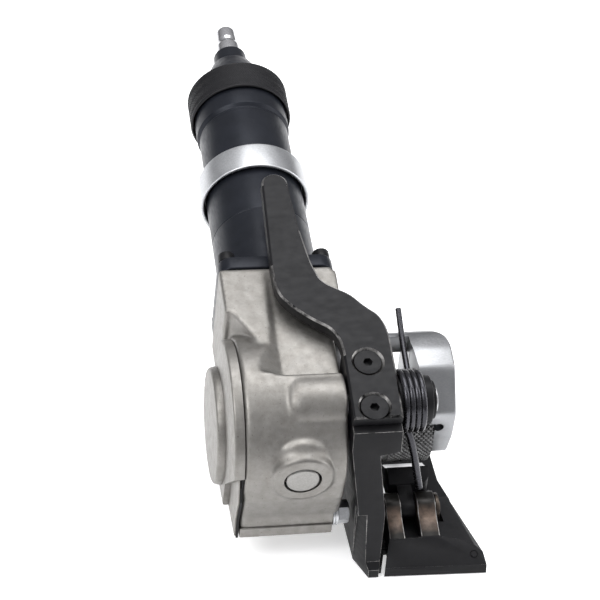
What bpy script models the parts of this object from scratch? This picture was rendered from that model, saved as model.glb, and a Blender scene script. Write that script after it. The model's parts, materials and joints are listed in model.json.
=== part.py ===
"""Pneumatic strap tensioner: an air motor in the handle drives a worm gear and a knurled feed wheel.

The motor, gearbox and feed wheel are one rocking unit. It hangs on a pivot pin in the arm of the base,
and squeezing the lever against the handle lifts the feed wheel off the strap.

Frame: +X to the side where the strap goes in, +Y to the rear (towards the air inlet), +Z up.
The datum is a point on the sole, under the feed shaft. Lengths are in millimetres until they become meshes.
"""
import math

import bmesh
import bpy
from mathutils import Matrix, Vector

MM = 0.001
GAP = 0.3                       # left between pieces that touch

# ---- driving dimensions, in millimetres ---------------------------------------------------------
DATUM_X = 35.0                  # the datum's distance from the motor axis, along X
SHAFT_Z = 44.0                  # height of the feed shaft above the sole
HANDLE_TILT = math.radians(12)  # the motor axis rises to the rear
CENTRE_DISTANCE = 26.0          # from the feed shaft up to the motor axis
PIVOT_Y, PIVOT_Z = -34.0, 81.5  # axis of the rocking unit

CASE_LEFT, CASE_RIGHT = -26.0, 21.0
DRUM_Y, DRUM_Z, DRUM_R = -16.0, 57.0, 41.5
CASE_FLOOR = 15.5
STOP_Y, STOP_Z = -42.5, 23.0    # hex bolt at the casing's lower front corner
NECK_HALF = 28.5                # half width of the square neck and flange
NECK_REAR = 52.0
FLANGE_REAR = 60.0
FLANGE_SCREWS = ((23.2, 22.4), (-23.2, 22.4), (-23.2, -22.4), (23.2, -22.4))  # x, and height off the axis
BRACKET_SCREWS = ((-6.0, 77.0), (6.2, 77.3))                                  # y, z
FOOT_SCREWS = ((49.5, -45.0), (49.5, -24.0))                                  # x, y

GRIP_R, GRIP_BORE = 25.0, 22.6  # front handle tube
GRIP_REAR = 132.7
RING_FRONT, RING_REAR, RING_R = 123.0, 139.7, 28.2
TUBE_R, COLLAR_R = 23.7, 24.8   # rear handle tube and its collar
COLLAR_FRONT, TUBE_REAR = 175.3, 196.0
KNURL_FRONT, KNURL_REAR, KNURL_R = 186.0, 205.8, 27.1
CAP_REAR, NIPPLE_REAR = 240.0, 263.0

WORM_LEAD, WORM_TIP, WORM_CORE = 2 * math.pi, 9.0, 4.5
WHEEL_TEETH, WHEEL_MODULE = 19, 2.0
SUN_TEETH, PLANET_TEETH, RING_TEETH, PLANET_MODULE = 12, 12, 36, 1.0
SHAFT_R = 5.7
FEED_R, FEED_LEFT, FEED_RIGHT, FEED_TEETH = 22.0, 48.5, 70.0, 36
BRACKET_STEP = 36.0             # x of the bracket's step, where its two screws seat

ARM_LEFT, ARM_RIGHT = 22.3, 45.0
PIVOT_R = 6.0
LEVER_THICK = 6.4
LEVER_TILT = math.atan(0.352)
LEVER_FRONT_Y, LEVER_FRONT_Z = -54.2, 88.7
SQUEEZE = math.radians(4.5)     # travel of the rocking unit towards the lever
LEVER_CLEAR = 88.0              # height over the pivot that the casing keeps under the lever
SCREW_SPOTS = ((32.7, 30.4), (32.3, 6.2))  # lever screws: x, and distance from the lever's front end

DOG_PIN_Y, DOG_PIN_Z, DOG_PIN_R = -34.0, 14.5, 3.5
COIL_R, WIRE_R = 13.4, 1.45
COIL_LEFT, COIL_RIGHT = 47.0, 57.0
COIL_TURN = math.radians(3 * 360 + 290)  # from the lower leg round to the upper leg
SLEEVE_R = 11.5

SMOOTH, MEDIUM, COARSE = 32, 20, 10        # facets round large, middling and small turned pieces


# ---- scene set-up ---------------------------------------------------------------------------------
for old in list(bpy.data.objects):
    bpy.data.objects.remove(old, do_unlink=True)

PARTS = bpy.data.collections.new("strap_tensioner")
CUTTERS = bpy.data.collections.new("cutters")
bpy.context.scene.collection.children.link(PARTS)
bpy.context.scene.collection.children.link(CUTTERS)


def material(name, colour, metallic, roughness):
    made = bpy.data.materials.new(name)
    made.use_nodes = True
    shader = made.node_tree.nodes["Principled BSDF"]
    shader.inputs["Base Color"].default_value = (*colour, 1.0)
    shader.inputs["Metallic"].default_value = metallic
    shader.inputs["Roughness"].default_value = roughness
    return made


CAST = material("cast_aluminium", (0.36, 0.35, 0.33), 0.9, 0.48)
BRUSHED = material("brushed_aluminium", (0.62, 0.63, 0.65), 1.0, 0.33)
ZINC = material("zinc_plate", (0.68, 0.69, 0.70), 1.0, 0.28)
CHROME = material("bright_steel", (0.60, 0.60, 0.60), 1.0, 0.18)
STEEL = material("machined_steel", (0.42, 0.42, 0.43), 1.0, 0.35)
WORN = material("worn_steel", (0.22, 0.19, 0.17), 1.0, 0.42)
ANODISED = material("black_anodised", (0.028, 0.030, 0.034), 0.6, 0.38)
BLACKED = material("black_oxide", (0.018, 0.018, 0.019), 0.7, 0.42)
RUBBER = material("gasket_rubber", (0.012, 0.012, 0.012), 0.0, 0.7)
VANE = material("vane_composite", (0.16, 0.09, 0.05), 0.0, 0.6)


def body(name, at, parent=None, parent_at=(0, 0, 0)):
    """An empty on a joint axis, which carries the pieces that move with it. at is in the design frame."""
    empty = bpy.data.objects.new(name, None)
    empty.empty_display_size = 0.01
    empty.location = (Vector(at) - Vector(parent_at)) * MM
    empty.parent = parent
    empty["design"] = tuple(at)
    PARTS.objects.link(empty)
    return empty


MOTOR = Matrix.Translation((0, -CENTRE_DISTANCE * math.sin(HANDLE_TILT),
                            SHAFT_Z + CENTRE_DISTANCE * math.cos(HANDLE_TILT))) \
    @ Matrix.Rotation(HANDLE_TILT, 4, "X")
PIVOT = (0, PIVOT_Y, PIVOT_Z)
SHAFT = (0, 0, SHAFT_Z)
DOG_PIVOT = (0, DOG_PIN_Y, DOG_PIN_Z)
MOTOR_AT = tuple(MOTOR.translation)

datum = body("tool_datum", (-DATUM_X, 0, 0))
datum["design"] = (0, 0, 0)
base = body("base", (0, 0, 0), datum)
rocker = body("rocker", PIVOT, base)
dog_body = body("dog", DOG_PIVOT, base)
feed_body = body("feed", SHAFT, rocker, PIVOT)
worm_body = body("worm_drive", MOTOR_AT, rocker, PIVOT)
rotor_body = body("rotor_drive", MOTOR_AT, rocker, PIVOT)
ring_body = body("start_ring", MOTOR_AT, rocker, PIVOT)
knob_body = body("regulator", MOTOR_AT, rocker, PIVOT)


# ---- building tools ---------------------------------------------------------------------------------
def along(axis):
    """Matrix that stands a piece made along +Z on an axis of the tool."""
    if axis == "motor":
        return MOTOR @ Matrix.Rotation(-math.pi / 2, 4, "X")
    if axis == "x":
        return Matrix.Rotation(math.pi / 2, 4, "Y")
    return Matrix.Identity(4)


def across(y, z):
    """Matrix that lays a piece made along +Z on a line parallel to X."""
    return Matrix.Translation((0, y, z)) @ along("x")


def link(name, mesh, skin, parent, cutter=False):
    mesh.transform(Matrix.Scale(MM, 4))
    obj = bpy.data.objects.new(name, mesh)
    obj.parent = parent
    obj.matrix_parent_inverse = Matrix.Translation(-Vector(parent["design"]) * MM)
    if cutter:
        CUTTERS.objects.link(obj)
        obj.hide_render = True
        obj.display_type = "WIRE"
    else:
        mesh.materials.append(skin)
        PARTS.objects.link(obj)
        mesh.shade_smooth()
        mesh.set_sharp_from_angle(angle=math.radians(35))
    return obj


def finished(bm, matrix, name):
    """The mesh of a closed bmesh, placed in the design frame with its faces pointing out."""
    bmesh.ops.transform(bm, matrix=matrix, verts=bm.verts)
    bmesh.ops.recalc_face_normals(bm, faces=bm.faces)
    mesh = bpy.data.meshes.new(name)
    bm.to_mesh(mesh)
    bm.free()
    return mesh


def box_mesh(name, low, high, matrix=Matrix.Identity(4), bevel=0.0, steps=2):
    bm = bmesh.new()
    low, high = Vector(low), Vector(high)
    bmesh.ops.create_cube(bm, size=1)
    bmesh.ops.transform(bm, verts=bm.verts,
                        matrix=Matrix.Translation((low + high) / 2) @ Matrix.Diagonal((*(high - low), 1)))
    if bevel:
        bmesh.ops.bevel(bm, geom=bm.edges[:], offset=bevel, segments=steps, affect="EDGES", profile=0.5)
    return finished(bm, matrix, name)


def rod_mesh(name, radius, start, end, matrix, sides=MEDIUM, end_radius=None):
    bm = bmesh.new()
    bmesh.ops.create_cone(bm, cap_ends=True, segments=sides, radius1=radius,
                          radius2=radius if end_radius is None else end_radius, depth=end - start)
    bmesh.ops.transform(bm, matrix=Matrix.Translation((0, 0, (start + end) / 2)), verts=bm.verts)
    return finished(bm, matrix, name)


def turned_mesh(name, profile, matrix, sides=SMOOTH, closed=False):
    """Turn a profile of (radius, height) about Z. It runs down the outer side, from top to bottom."""
    mesh = bpy.data.meshes.new(name)
    count = len(profile)
    edges = [(i, i + 1) for i in range(count - 1)] + ([(count - 1, 0)] if closed else [])
    mesh.from_pydata([(r * MM, 0, h * MM) for r, h in profile], edges, [])
    blank = bpy.data.objects.new(name, mesh)
    CUTTERS.objects.link(blank)
    screw = blank.modifiers.new("turn", "SCREW")
    screw.angle = 2 * math.pi
    screw.steps = screw.render_steps = sides
    screw.use_merge_vertices = True
    screw.merge_threshold = 0.00001
    return baked(blank, matrix)


def baked(blank, matrix):
    """Evaluate a construction object, remove it, and return its closed mesh in the design frame."""
    bpy.context.view_layer.update()
    ready = blank.evaluated_get(bpy.context.evaluated_depsgraph_get())
    mesh = bpy.data.meshes.new_from_object(ready)
    bpy.data.objects.remove(blank, do_unlink=True)
    bm = bmesh.new()
    bm.from_mesh(mesh)
    bmesh.ops.scale(bm, vec=(1 / MM, 1 / MM, 1 / MM), verts=bm.verts)
    bmesh.ops.remove_doubles(bm, verts=bm.verts, dist=0.002)
    return finished(bm, matrix, mesh.name)


def tube_mesh(name, outer, inner, start, end, matrix, sides=SMOOTH):
    return turned_mesh(name, [(outer, end), (outer, start), (inner, start), (inner, end)], matrix, sides, True)


def plate_mesh(name, outlines, low, high, matrix):
    """Extrude flat outlines from low to high along Z. Inner outlines become holes."""
    curve = bpy.data.curves.new(name, "CURVE")
    curve.dimensions = "2D"
    curve.fill_mode = "BOTH"
    curve.extrude = (high - low) / 2 * MM
    for outline in outlines:
        spline = curve.splines.new("POLY")
        spline.points.add(len(outline) - 1)
        for point, (u, v) in zip(spline.points, outline):
            point.co = (u * MM, v * MM, 0, 1)
        spline.use_cyclic_u = True
    blank = bpy.data.objects.new(name, curve)
    CUTTERS.objects.link(blank)
    return baked(blank, matrix @ Matrix.Translation((0, 0, (low + high) / 2)))


YZ_PLANE = Matrix(((0, 0, 1, 0), (1, 0, 0, 0), (0, 1, 0, 0), (0, 0, 0, 1)))   # outline (y, z), extruded along x
XZ_PLANE = Matrix(((1, 0, 0, 0), (0, 0, 1, 0), (0, 1, 0, 0), (0, 0, 0, 1)))   # outline (x, z), extruded along y


def arc(centre, radius, start, end, steps):
    """Points on an arc, with the angles in degrees from the first axis."""
    angles = [math.radians(start + (end - start) * i / steps) for i in range(steps + 1)]
    return [(centre[0] + radius * math.cos(a), centre[1] + radius * math.sin(a)) for a in angles]


def rounded_square(half_u, half_v, radius, steps=5):
    corners = ((1, 1, 0), (-1, 1, 90), (-1, -1, 180), (1, -1, 270))
    points = []
    for su, sv, turn in corners:
        points += arc((su * (half_u - radius), sv * (half_v - radius)), radius, turn, turn + 90, steps)
    return points


def boolean(obj, mesh, operation, label):
    tool = link(f"{obj.name}_{label}", mesh, None, obj.parent, cutter=True)
    modifier = obj.modifiers.new(label, "BOOLEAN")
    modifier.operation = operation
    modifier.solver = "EXACT"
    modifier.object = tool
    return obj


def cut(obj, mesh, label):
    return boolean(obj, mesh, "DIFFERENCE", label)


def add(obj, mesh, label):
    return boolean(obj, mesh, "UNION", label)


def soften(obj, width, steps=2, angle=30):
    bevel = obj.modifiers.new("edges", "BEVEL")
    bevel.width = width * MM
    bevel.segments = steps
    bevel.limit_method = "ANGLE"
    bevel.angle_limit = math.radians(angle)
    bevel.use_clamp_overlap = True
    return obj


def gear_outline(teeth, module, tip, root, tip_share, root_share, turn=0.0):
    """Straight-sided teeth. A share is a tooth's width over the pitch, at its tip and at its root."""
    pitch = 2 * math.pi / teeth
    points = []
    for i in range(teeth):
        middle = turn + i * pitch
        flank = ((root, -root_share), (tip, -tip_share), (tip, tip_share), (root, root_share))
        for radius, share in flank:
            angle = middle + share * pitch / 2
            points.append((radius * math.cos(angle), radius * math.sin(angle)))
    return points


def circle(radius, sides=COARSE, centre=(0, 0)):
    return arc(centre, radius, 0, 360 * (sides - 1) / sides, sides - 1)


# ---- gear casing and its covers -----------------------------------------------------------------------
def motor_point(s, z):
    """(y, z) in the design frame of a point at s along the motor axis and z square to it."""
    at = MOTOR @ Vector((0, s, z))
    return at.y, at.z


def drum_outline(inset=0.0, last_angle=6.0):
    """Side view of the gear drum: lip, sloping lower front, then the round of the drum."""
    lip = [(-47.6 + inset, CASE_FLOOR + inset), (-48.5 + inset, 27.5), (-54.8 + inset, 43.0)]
    return lip + arc((DRUM_Y, DRUM_Z), DRUM_R - inset, 180, last_angle, 16)


def gear_casing():
    outline = drum_outline() + [(25.5, 40.0), (21.0, CASE_FLOOR)]
    casing = link("gear_casing", plate_mesh("gear_casing", [outline], CASE_LEFT, CASE_RIGHT, YZ_PLANE),
                  CAST, rocker)
    soften(casing, 2.0, 2, 40)
    shoulder = [(-NECK_HALF, 24.4), (CASE_LEFT + 0.2, 24.4), (-7.4, -8), (CASE_RIGHT - 0.5, -8),
                (CASE_RIGHT - 0.5, 17.5),
                (NECK_HALF - 0.5, 17.5),
                (NECK_HALF - 0.5, NECK_REAR - 3), (NECK_HALF - 3.5, NECK_REAR), (3.5 - NECK_HALF, NECK_REAR),
                (-NECK_HALF, NECK_REAR - 3)]
    add(casing, plate_mesh("neck", [shoulder], -28, 28, MOTOR), "neck")
    add(casing, rod_mesh("boss", 14.2, -53.4, 0, along("motor"), SMOOTH), "worm_boss")
    boss = [(0, CASE_RIGHT - 0.2), (14.3, CASE_RIGHT - 0.2), (14.3, -1.0), (13.0, -4.6), (9.6, -7.4), (0, -8.6)]
    add(casing, turned_mesh("boss", boss, across(PIVOT_Y, PIVOT_Z)), "pivot_boss")
    relief_slope = math.tan(LEVER_TILT - SQUEEZE)
    relief = [(-30.5, 99), (-26, LEVER_CLEAR + 8 * relief_slope), (60, LEVER_CLEAR + 94 * relief_slope),
              (60, 130), (-30.5, 130)]
    cut(casing, plate_mesh("relief", [relief], -7, 30, YZ_PLANE), "lever_relief")
    cut(casing, rod_mesh("cavity", 22.8, CASE_LEFT - 1, 8, across(0, SHAFT_Z), SMOOTH), "gear_cavity")
    cut(casing, rod_mesh("seat", 12.3, 7, 17.5, across(0, SHAFT_Z), MEDIUM), "shaft_seat")
    cut(casing, rod_mesh("hole", 7.0, 17, 22, across(0, SHAFT_Z), MEDIUM), "shaft_hole")
    cut(casing, rod_mesh("tunnel", 11.4, -34, NECK_REAR + 1, along("motor"), MEDIUM), "worm_tunnel")
    cut(casing, rod_mesh("seat", 8.3, -60, -33, along("motor"), MEDIUM), "plug_bore")
    cut(casing, rod_mesh("hole", PIVOT_R + GAP, 0, 22, across(PIVOT_Y, PIVOT_Z), MEDIUM), "pivot_hole")
    cut(casing, rod_mesh("spot", 8.2, 18.2, 30, across(STOP_Y, STOP_Z), MEDIUM), "bolt_spot_face")
    cut(casing, rod_mesh("hole", 3.3, 6, 19, across(STOP_Y, STOP_Z), COARSE), "bolt_hole")
    for i, (y, z) in enumerate(BRACKET_SCREWS):
        cut(casing, rod_mesh("hole", 3.3, 12, 22, across(y, z), COARSE), f"bracket_hole_{i}")
    for i, (x, z) in enumerate(FLANGE_SCREWS):
        hole = rod_mesh("hole", 2.8, 38, NECK_REAR + 1, along("motor") @ Matrix.Translation((x, -z, 0)), COARSE)
        cut(casing, hole, f"flange_hole_{i}")


def side_cover():
    rear = [motor_point(23, -26), (25.0, 32), (20, CASE_FLOOR + 1.2)]
    outline = drum_outline(1.2, 42) + rear
    plate = plate_mesh("side_cover", [outline], -31, -27.2, YZ_PLANE)
    cover = link("side_cover", plate, CAST, rocker)
    disc = turned_mesh("disc", [(0, 3.6), (24.5, 3.6), (27.4, 2.8), (28.4, 0.8), (28.4, -2), (0, -2)],
                       Matrix.Translation((-31.2, 0, SHAFT_Z)) @ Matrix.Rotation(-math.pi / 2, 4, "Y"))
    add(cover, disc, "disc")
    cut(cover, rod_mesh("seat", 9.3, -32.2, -26, across(0, SHAFT_Z), MEDIUM), "bearing_seat")
    cavity = circle(23.2, MEDIUM, (0, SHAFT_Z))
    link("cover_gasket", plate_mesh("cover_gasket", [outline, cavity], -26.9, -26.3, YZ_PLANE), RUBBER, rocker)


def motor_flange():
    outline = rounded_square(NECK_HALF + 0.5, 28, 7)
    holes = [circle(2.8, COARSE, (x, -z)) for x, z in FLANGE_SCREWS]
    plate = plate_mesh("motor_flange", [outline, circle(9.5, MEDIUM)] + holes,
                       NECK_REAR + GAP, FLANGE_REAR, along("motor"))
    link("motor_flange", plate, ANODISED, rocker)
    for i, (x, z) in enumerate(FLANGE_SCREWS):
        cap_screw(f"flange_screw_{i + 1}", 4.2, 5.0, 2.5, 20.0,
                  along("motor") @ Matrix.Translation((x, -z, FLANGE_REAR + GAP)), BLACKED, rocker)


def cap_screw(name, head_r, head_high, shank_r, shank_long, matrix, skin, parent):
    """Socket head cap screw: the head stands on +Z and the shank runs down."""
    socket = head_r * 0.58
    profile = [(0, head_high * 0.45), (socket, head_high * 0.45), (socket, head_high),
               (head_r - 0.4, head_high), (head_r, head_high - 0.4), (head_r, 0),
               (shank_r, 0), (shank_r, -shank_long), (0, -shank_long)]
    return link(name, turned_mesh(name, profile, matrix, COARSE), skin, parent)


def worm_plug():
    profile = [(0, 6), (8.0, 6), (8.0, 1.0), (7.2, 0.0), (0, 0)]
    link("worm_plug", turned_mesh("worm_plug", profile, along("motor") @ Matrix.Translation((0, 0, -53.2)),
                                  MEDIUM), ZINC, rocker)


def hex_bolt():
    at = across(STOP_Y, STOP_Z)
    hexagon = arc((0, 0), 5.75, 30, 330, 5)
    bolt = link("stop_bolt", plate_mesh("stop_bolt", [hexagon], 21.4, 26.4, at), ZINC, rocker)
    add(bolt, rod_mesh("shank", 3.0, 7, 21.6, at, COARSE), "shank")
    link("stop_washer", tube_mesh("stop_washer", 6.2, 3.3, 18.5, 21.1, at, MEDIUM), ZINC, rocker)


# ---- handle: tubes, start ring, regulator and air inlet --------------------------------------------------
def handle():
    line = along("motor")
    front = [(GRIP_R, GRIP_REAR), (GRIP_R, 61.3), (GRIP_R - 1, FLANGE_REAR + GAP),
             (GRIP_BORE, FLANGE_REAR + GAP), (GRIP_BORE, GRIP_REAR)]
    link("front_tube", turned_mesh("front_tube", front, line, SMOOTH, True), ANODISED, rocker)
    rear = [(COLLAR_R, TUBE_REAR), (COLLAR_R, COLLAR_FRONT), (TUBE_R, COLLAR_FRONT - 1.6), (TUBE_R, GRIP_REAR + GAP),
            (GRIP_BORE - GAP, GRIP_REAR + GAP), (GRIP_BORE - GAP, 124.0), (19.5, 124.0), (19.5, TUBE_REAR)]
    link("rear_tube", turned_mesh("rear_tube", rear, line, SMOOTH, True), ANODISED, rocker)
    ring = [(RING_R - 1.6, RING_REAR), (RING_R - 0.3, RING_REAR - 1.0), (RING_R, RING_REAR - 2.5),
            (RING_R, RING_FRONT + 2.4), (RING_R - 0.5, RING_FRONT + 0.6), (RING_R - 1.4, RING_FRONT),
            (RING_R - 2.2, RING_FRONT + 0.9), (GRIP_R + 0.4, RING_FRONT + 3.2),
            (GRIP_R + 0.4, RING_REAR - 1.5), (TUBE_R + 0.4, RING_REAR - 1.5), (TUBE_R + 0.4, RING_REAR)]
    link("start_ring_sleeve", turned_mesh("start_ring_sleeve", ring, line, SMOOTH, True), ZINC, ring_body)
    knob = [(KNURL_R - 2.0, KNURL_REAR), (KNURL_R, KNURL_REAR - 1.4), (KNURL_R, KNURL_FRONT + 0.8),
            (KNURL_R - 0.5, KNURL_FRONT), (KNURL_R - 1.0, KNURL_FRONT), (KNURL_R - 1.0, KNURL_FRONT + 4.0),
            (COLLAR_R + 0.4, KNURL_FRONT + 4.0), (COLLAR_R + 0.4, KNURL_REAR - 1.0), (23.0, KNURL_REAR)]
    link("regulator_ring", turned_mesh("regulator_ring", knob, line, SMOOTH, True), BLACKED, knob_body)
    cap = [(9.0, CAP_REAR), (9.0, 230.5), (11.6, 229.0), (20.6, 208.6), (22.4, KNURL_REAR - 1.6),
           (COLLAR_R, KNURL_REAR - 2.2), (COLLAR_R, TUBE_REAR + GAP), (18.0, TUBE_REAR + GAP), (18.0, 203.0),
           (3.4, 207.0), (3.4, 227.0), (4.8, 227.0), (4.8, CAP_REAR)]
    link("inlet_cap", turned_mesh("inlet_cap", cap, line, MEDIUM, True), BLACKED, rocker)
    nipple = [(4.4, NIPPLE_REAR), (5.2, 261.6), (5.5, 260.0), (5.5, 253.4), (4.9, 252.4), (4.9, 251.2),
              (6.4, 249.0), (6.4, 241.0), (5.8, CAP_REAR + GAP), (4.4, CAP_REAR + GAP), (4.4, 228.0),
              (2.6, 228.0), (2.6, NIPPLE_REAR)]
    link("air_nipple", turned_mesh("air_nipple", nipple, line, MEDIUM, True), CHROME, rocker)


# ---- air motor and planetary stage in the front tube ------------------------------------------------------
def air_motor():
    line = along("motor")
    bore = GRIP_BORE - GAP
    for name, start in (("front_end_plate", 79.0), ("rear_end_plate", 118.4)):
        link(name, tube_mesh(name, bore, 8.3, start, start + 4.6, line, SMOOTH), STEEL, rocker)
        bearing(f"rotor_bearing_{name.split('_')[0]}", 8.0, 4.3, start + 0.2, start + 4.4, line, rocker)
    liner = plate_mesh("cylinder_liner", [circle(bore, SMOOTH), circle(17.0, SMOOTH, (0, 1.6))],
                       84.0, 118.0, line)
    link("cylinder_liner", liner, STEEL, rocker)
    rotor = link("rotor", rod_mesh("rotor", 15.0, 85.0, 117.2, line, SMOOTH), STEEL, rotor_body)
    add(rotor, rod_mesh("axle", 4.0, 74.0, 123.6, line, COARSE), "axle")
    sun = gear_outline(SUN_TEETH, PLANET_MODULE, 6.8, 4.8, 0.24, 0.62)
    add(rotor, plate_mesh("sun", [sun], 67.2, 75.2, line), "sun_gear")
    for i in range(4):
        turn = line @ Matrix.Rotation(math.radians(45 + 90 * i), 4, "Z")
        cut(rotor, box_mesh("slot", (8.0, -0.9, 80), (16.5, 0.9, 122), turn), f"slot_{i}")
        link(f"rotor_vane_{i + 1}", box_mesh("vane", (8.3, -0.6, 85.4), (14.8, 0.6, 116.8), turn), VANE, rotor_body)


def bearing(name, outer, inner, start, end, matrix, parent):
    return link(name, tube_mesh(name, outer, inner, start, end, matrix, MEDIUM), CHROME, parent)


def planetary_stage():
    line = along("motor")
    orbit = (SUN_TEETH + PLANET_TEETH) * PLANET_MODULE / 2
    inner_teeth = gear_outline(RING_TEETH, PLANET_MODULE, 17.2, 19.3, 0.24, 0.62)
    ring = plate_mesh("ring_gear", [circle(GRIP_BORE - GAP, SMOOTH), inner_teeth], 67.0, 75.4, line)
    link("ring_gear", ring, STEEL, rocker)
    carrier = link("planet_carrier", tube_mesh("planet_carrier", 16.2, 4.3, 61.0, 66.4, line, MEDIUM),
                   STEEL, worm_body)
    for i in range(3):
        angle = 2 * math.pi * i / 3
        centre = Matrix.Translation((orbit * math.cos(angle), orbit * math.sin(angle), 0))
        add(carrier, rod_mesh("pin", 2.2, 64.0, 75.8, line @ centre, COARSE), f"pin_{i}")
        at = line @ Vector((orbit * math.cos(angle), orbit * math.sin(angle), 71.2))
        planet_body = body(f"planet_{i + 1}_axis", tuple(at), worm_body, MOTOR_AT)
        turn = math.pi / PLANET_TEETH
        outline = gear_outline(PLANET_TEETH, PLANET_MODULE, 6.8, 4.8, 0.24, 0.62, turn)
        planet = plate_mesh("planet", [outline, circle(2.5, COARSE)], 67.4, 75.0, line @ centre)
        link(f"planet_gear_{i + 1}", planet, STEEL, planet_body)


# ---- worm, worm wheel, feed shaft and feed wheel --------------------------------------------------------------
def worm_mesh(name, turns, steps_per_turn):
    """Right-hand thread as a closed ridge, with a crest under the axis at its middle."""
    mesh = bpy.data.meshes.new(name)
    section = [(WORM_CORE - 0.4, 1.35), (WORM_TIP, 0.6), (WORM_TIP, -0.6), (WORM_CORE - 0.4, -1.35)]
    corners = [(r * MM, 0, h * MM) for r, h in section]
    mesh.from_pydata(corners, [(0, 1), (1, 2), (2, 3), (3, 0)], [])
    blank = bpy.data.objects.new(name, mesh)
    CUTTERS.objects.link(blank)
    screw = blank.modifiers.new("thread", "SCREW")
    screw.angle = 2 * math.pi * turns
    screw.screw_offset = WORM_LEAD * turns * MM
    screw.steps = screw.render_steps = steps_per_turn * turns
    screw.use_merge_vertices = False
    bpy.context.view_layer.update()
    ready = blank.evaluated_get(bpy.context.evaluated_depsgraph_get())
    thread = bpy.data.meshes.new_from_object(ready)
    bpy.data.objects.remove(blank, do_unlink=True)
    bm = bmesh.new()
    bm.from_mesh(thread)
    bmesh.ops.scale(bm, vec=(1 / MM, 1 / MM, 1 / MM), verts=bm.verts)
    bmesh.ops.holes_fill(bm, edges=[e for e in bm.edges if e.is_boundary], sides=8)
    start = -WORM_LEAD * turns / 2
    to_crest = Matrix.Translation((0, 0, start)) @ Matrix.Rotation(math.pi * turns + math.pi / 2, 4, "Z")
    return finished(bm, along("motor") @ to_crest, name)


def worm_drive():
    line = along("motor")
    shaft = [(0, 66.2), (4.0, 66.2), (4.0, 36.0), (WORM_CORE, 36.0), (WORM_CORE, -36.0), (3.9, -36.0),
             (3.9, -44.0), (0, -44.0)]
    worm = link("worm_shaft", turned_mesh("worm_shaft", shaft, line, MEDIUM), STEEL, worm_body)
    add(worm, worm_mesh("thread", 4, 12), "thread")
    bearing("worm_bearing_front", 8.0, 4.3, -43.4, -38.4, line, rocker)
    bearing("worm_bearing_rear", 11.0, 4.4, 40.0, 47.0, line, rocker)

    teeth = gear_outline(WHEEL_TEETH, WHEEL_MODULE, 20.8, 16.6, 0.22, 0.60, math.pi / WHEEL_TEETH)
    mesh = plate_mesh("worm_wheel", [teeth, circle(SHAFT_R + GAP, MEDIUM)], -6, 6, Matrix.Identity(4))
    helix = math.radians(0.431)
    bm = bmesh.new()
    bm.from_mesh(mesh)
    towards_worm = math.pi + HANDLE_TILT
    for vert in bm.verts:
        vert.co = Matrix.Rotation(towards_worm + helix * vert.co.z, 3, "Z") @ vert.co
    link("worm_wheel", finished(bm, across(0, SHAFT_Z), "worm_wheel"), WORN, feed_body)

    axis = across(0, SHAFT_Z)
    shaft = [(0, 77.0), (SHAFT_R, 77.0), (SHAFT_R, -26.6), (4.7, -26.8), (4.7, -31.4), (0, -31.4)]
    link("feed_shaft", turned_mesh("feed_shaft", shaft, axis, MEDIUM), STEEL, feed_body)
    link("shaft_spacer", tube_mesh("shaft_spacer", 8.5, SHAFT_R + GAP, CASE_RIGHT + 0.8, FEED_LEFT - GAP,
                                   axis, MEDIUM), STEEL, feed_body)
    knurl = gear_outline(FEED_TEETH, 1.0, FEED_R, FEED_R - 0.9, 0.16, 0.84)
    link("feed_wheel", plate_mesh("feed_wheel", [knurl, circle(SHAFT_R + GAP, MEDIUM)], FEED_LEFT, FEED_RIGHT,
                                  axis), WORN, feed_body)
    bearing("shaft_bearing_left", 9.0, 5.0, -31.6, -27.4, axis, rocker)
    bearing("shaft_bearing_middle", 12.0, SHAFT_R + GAP, 10.0, 17.2, axis, rocker)
    bearing("shaft_bearing_outboard", 11.0, SHAFT_R + GAP, 71.2, 77.0, axis, rocker)


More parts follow.
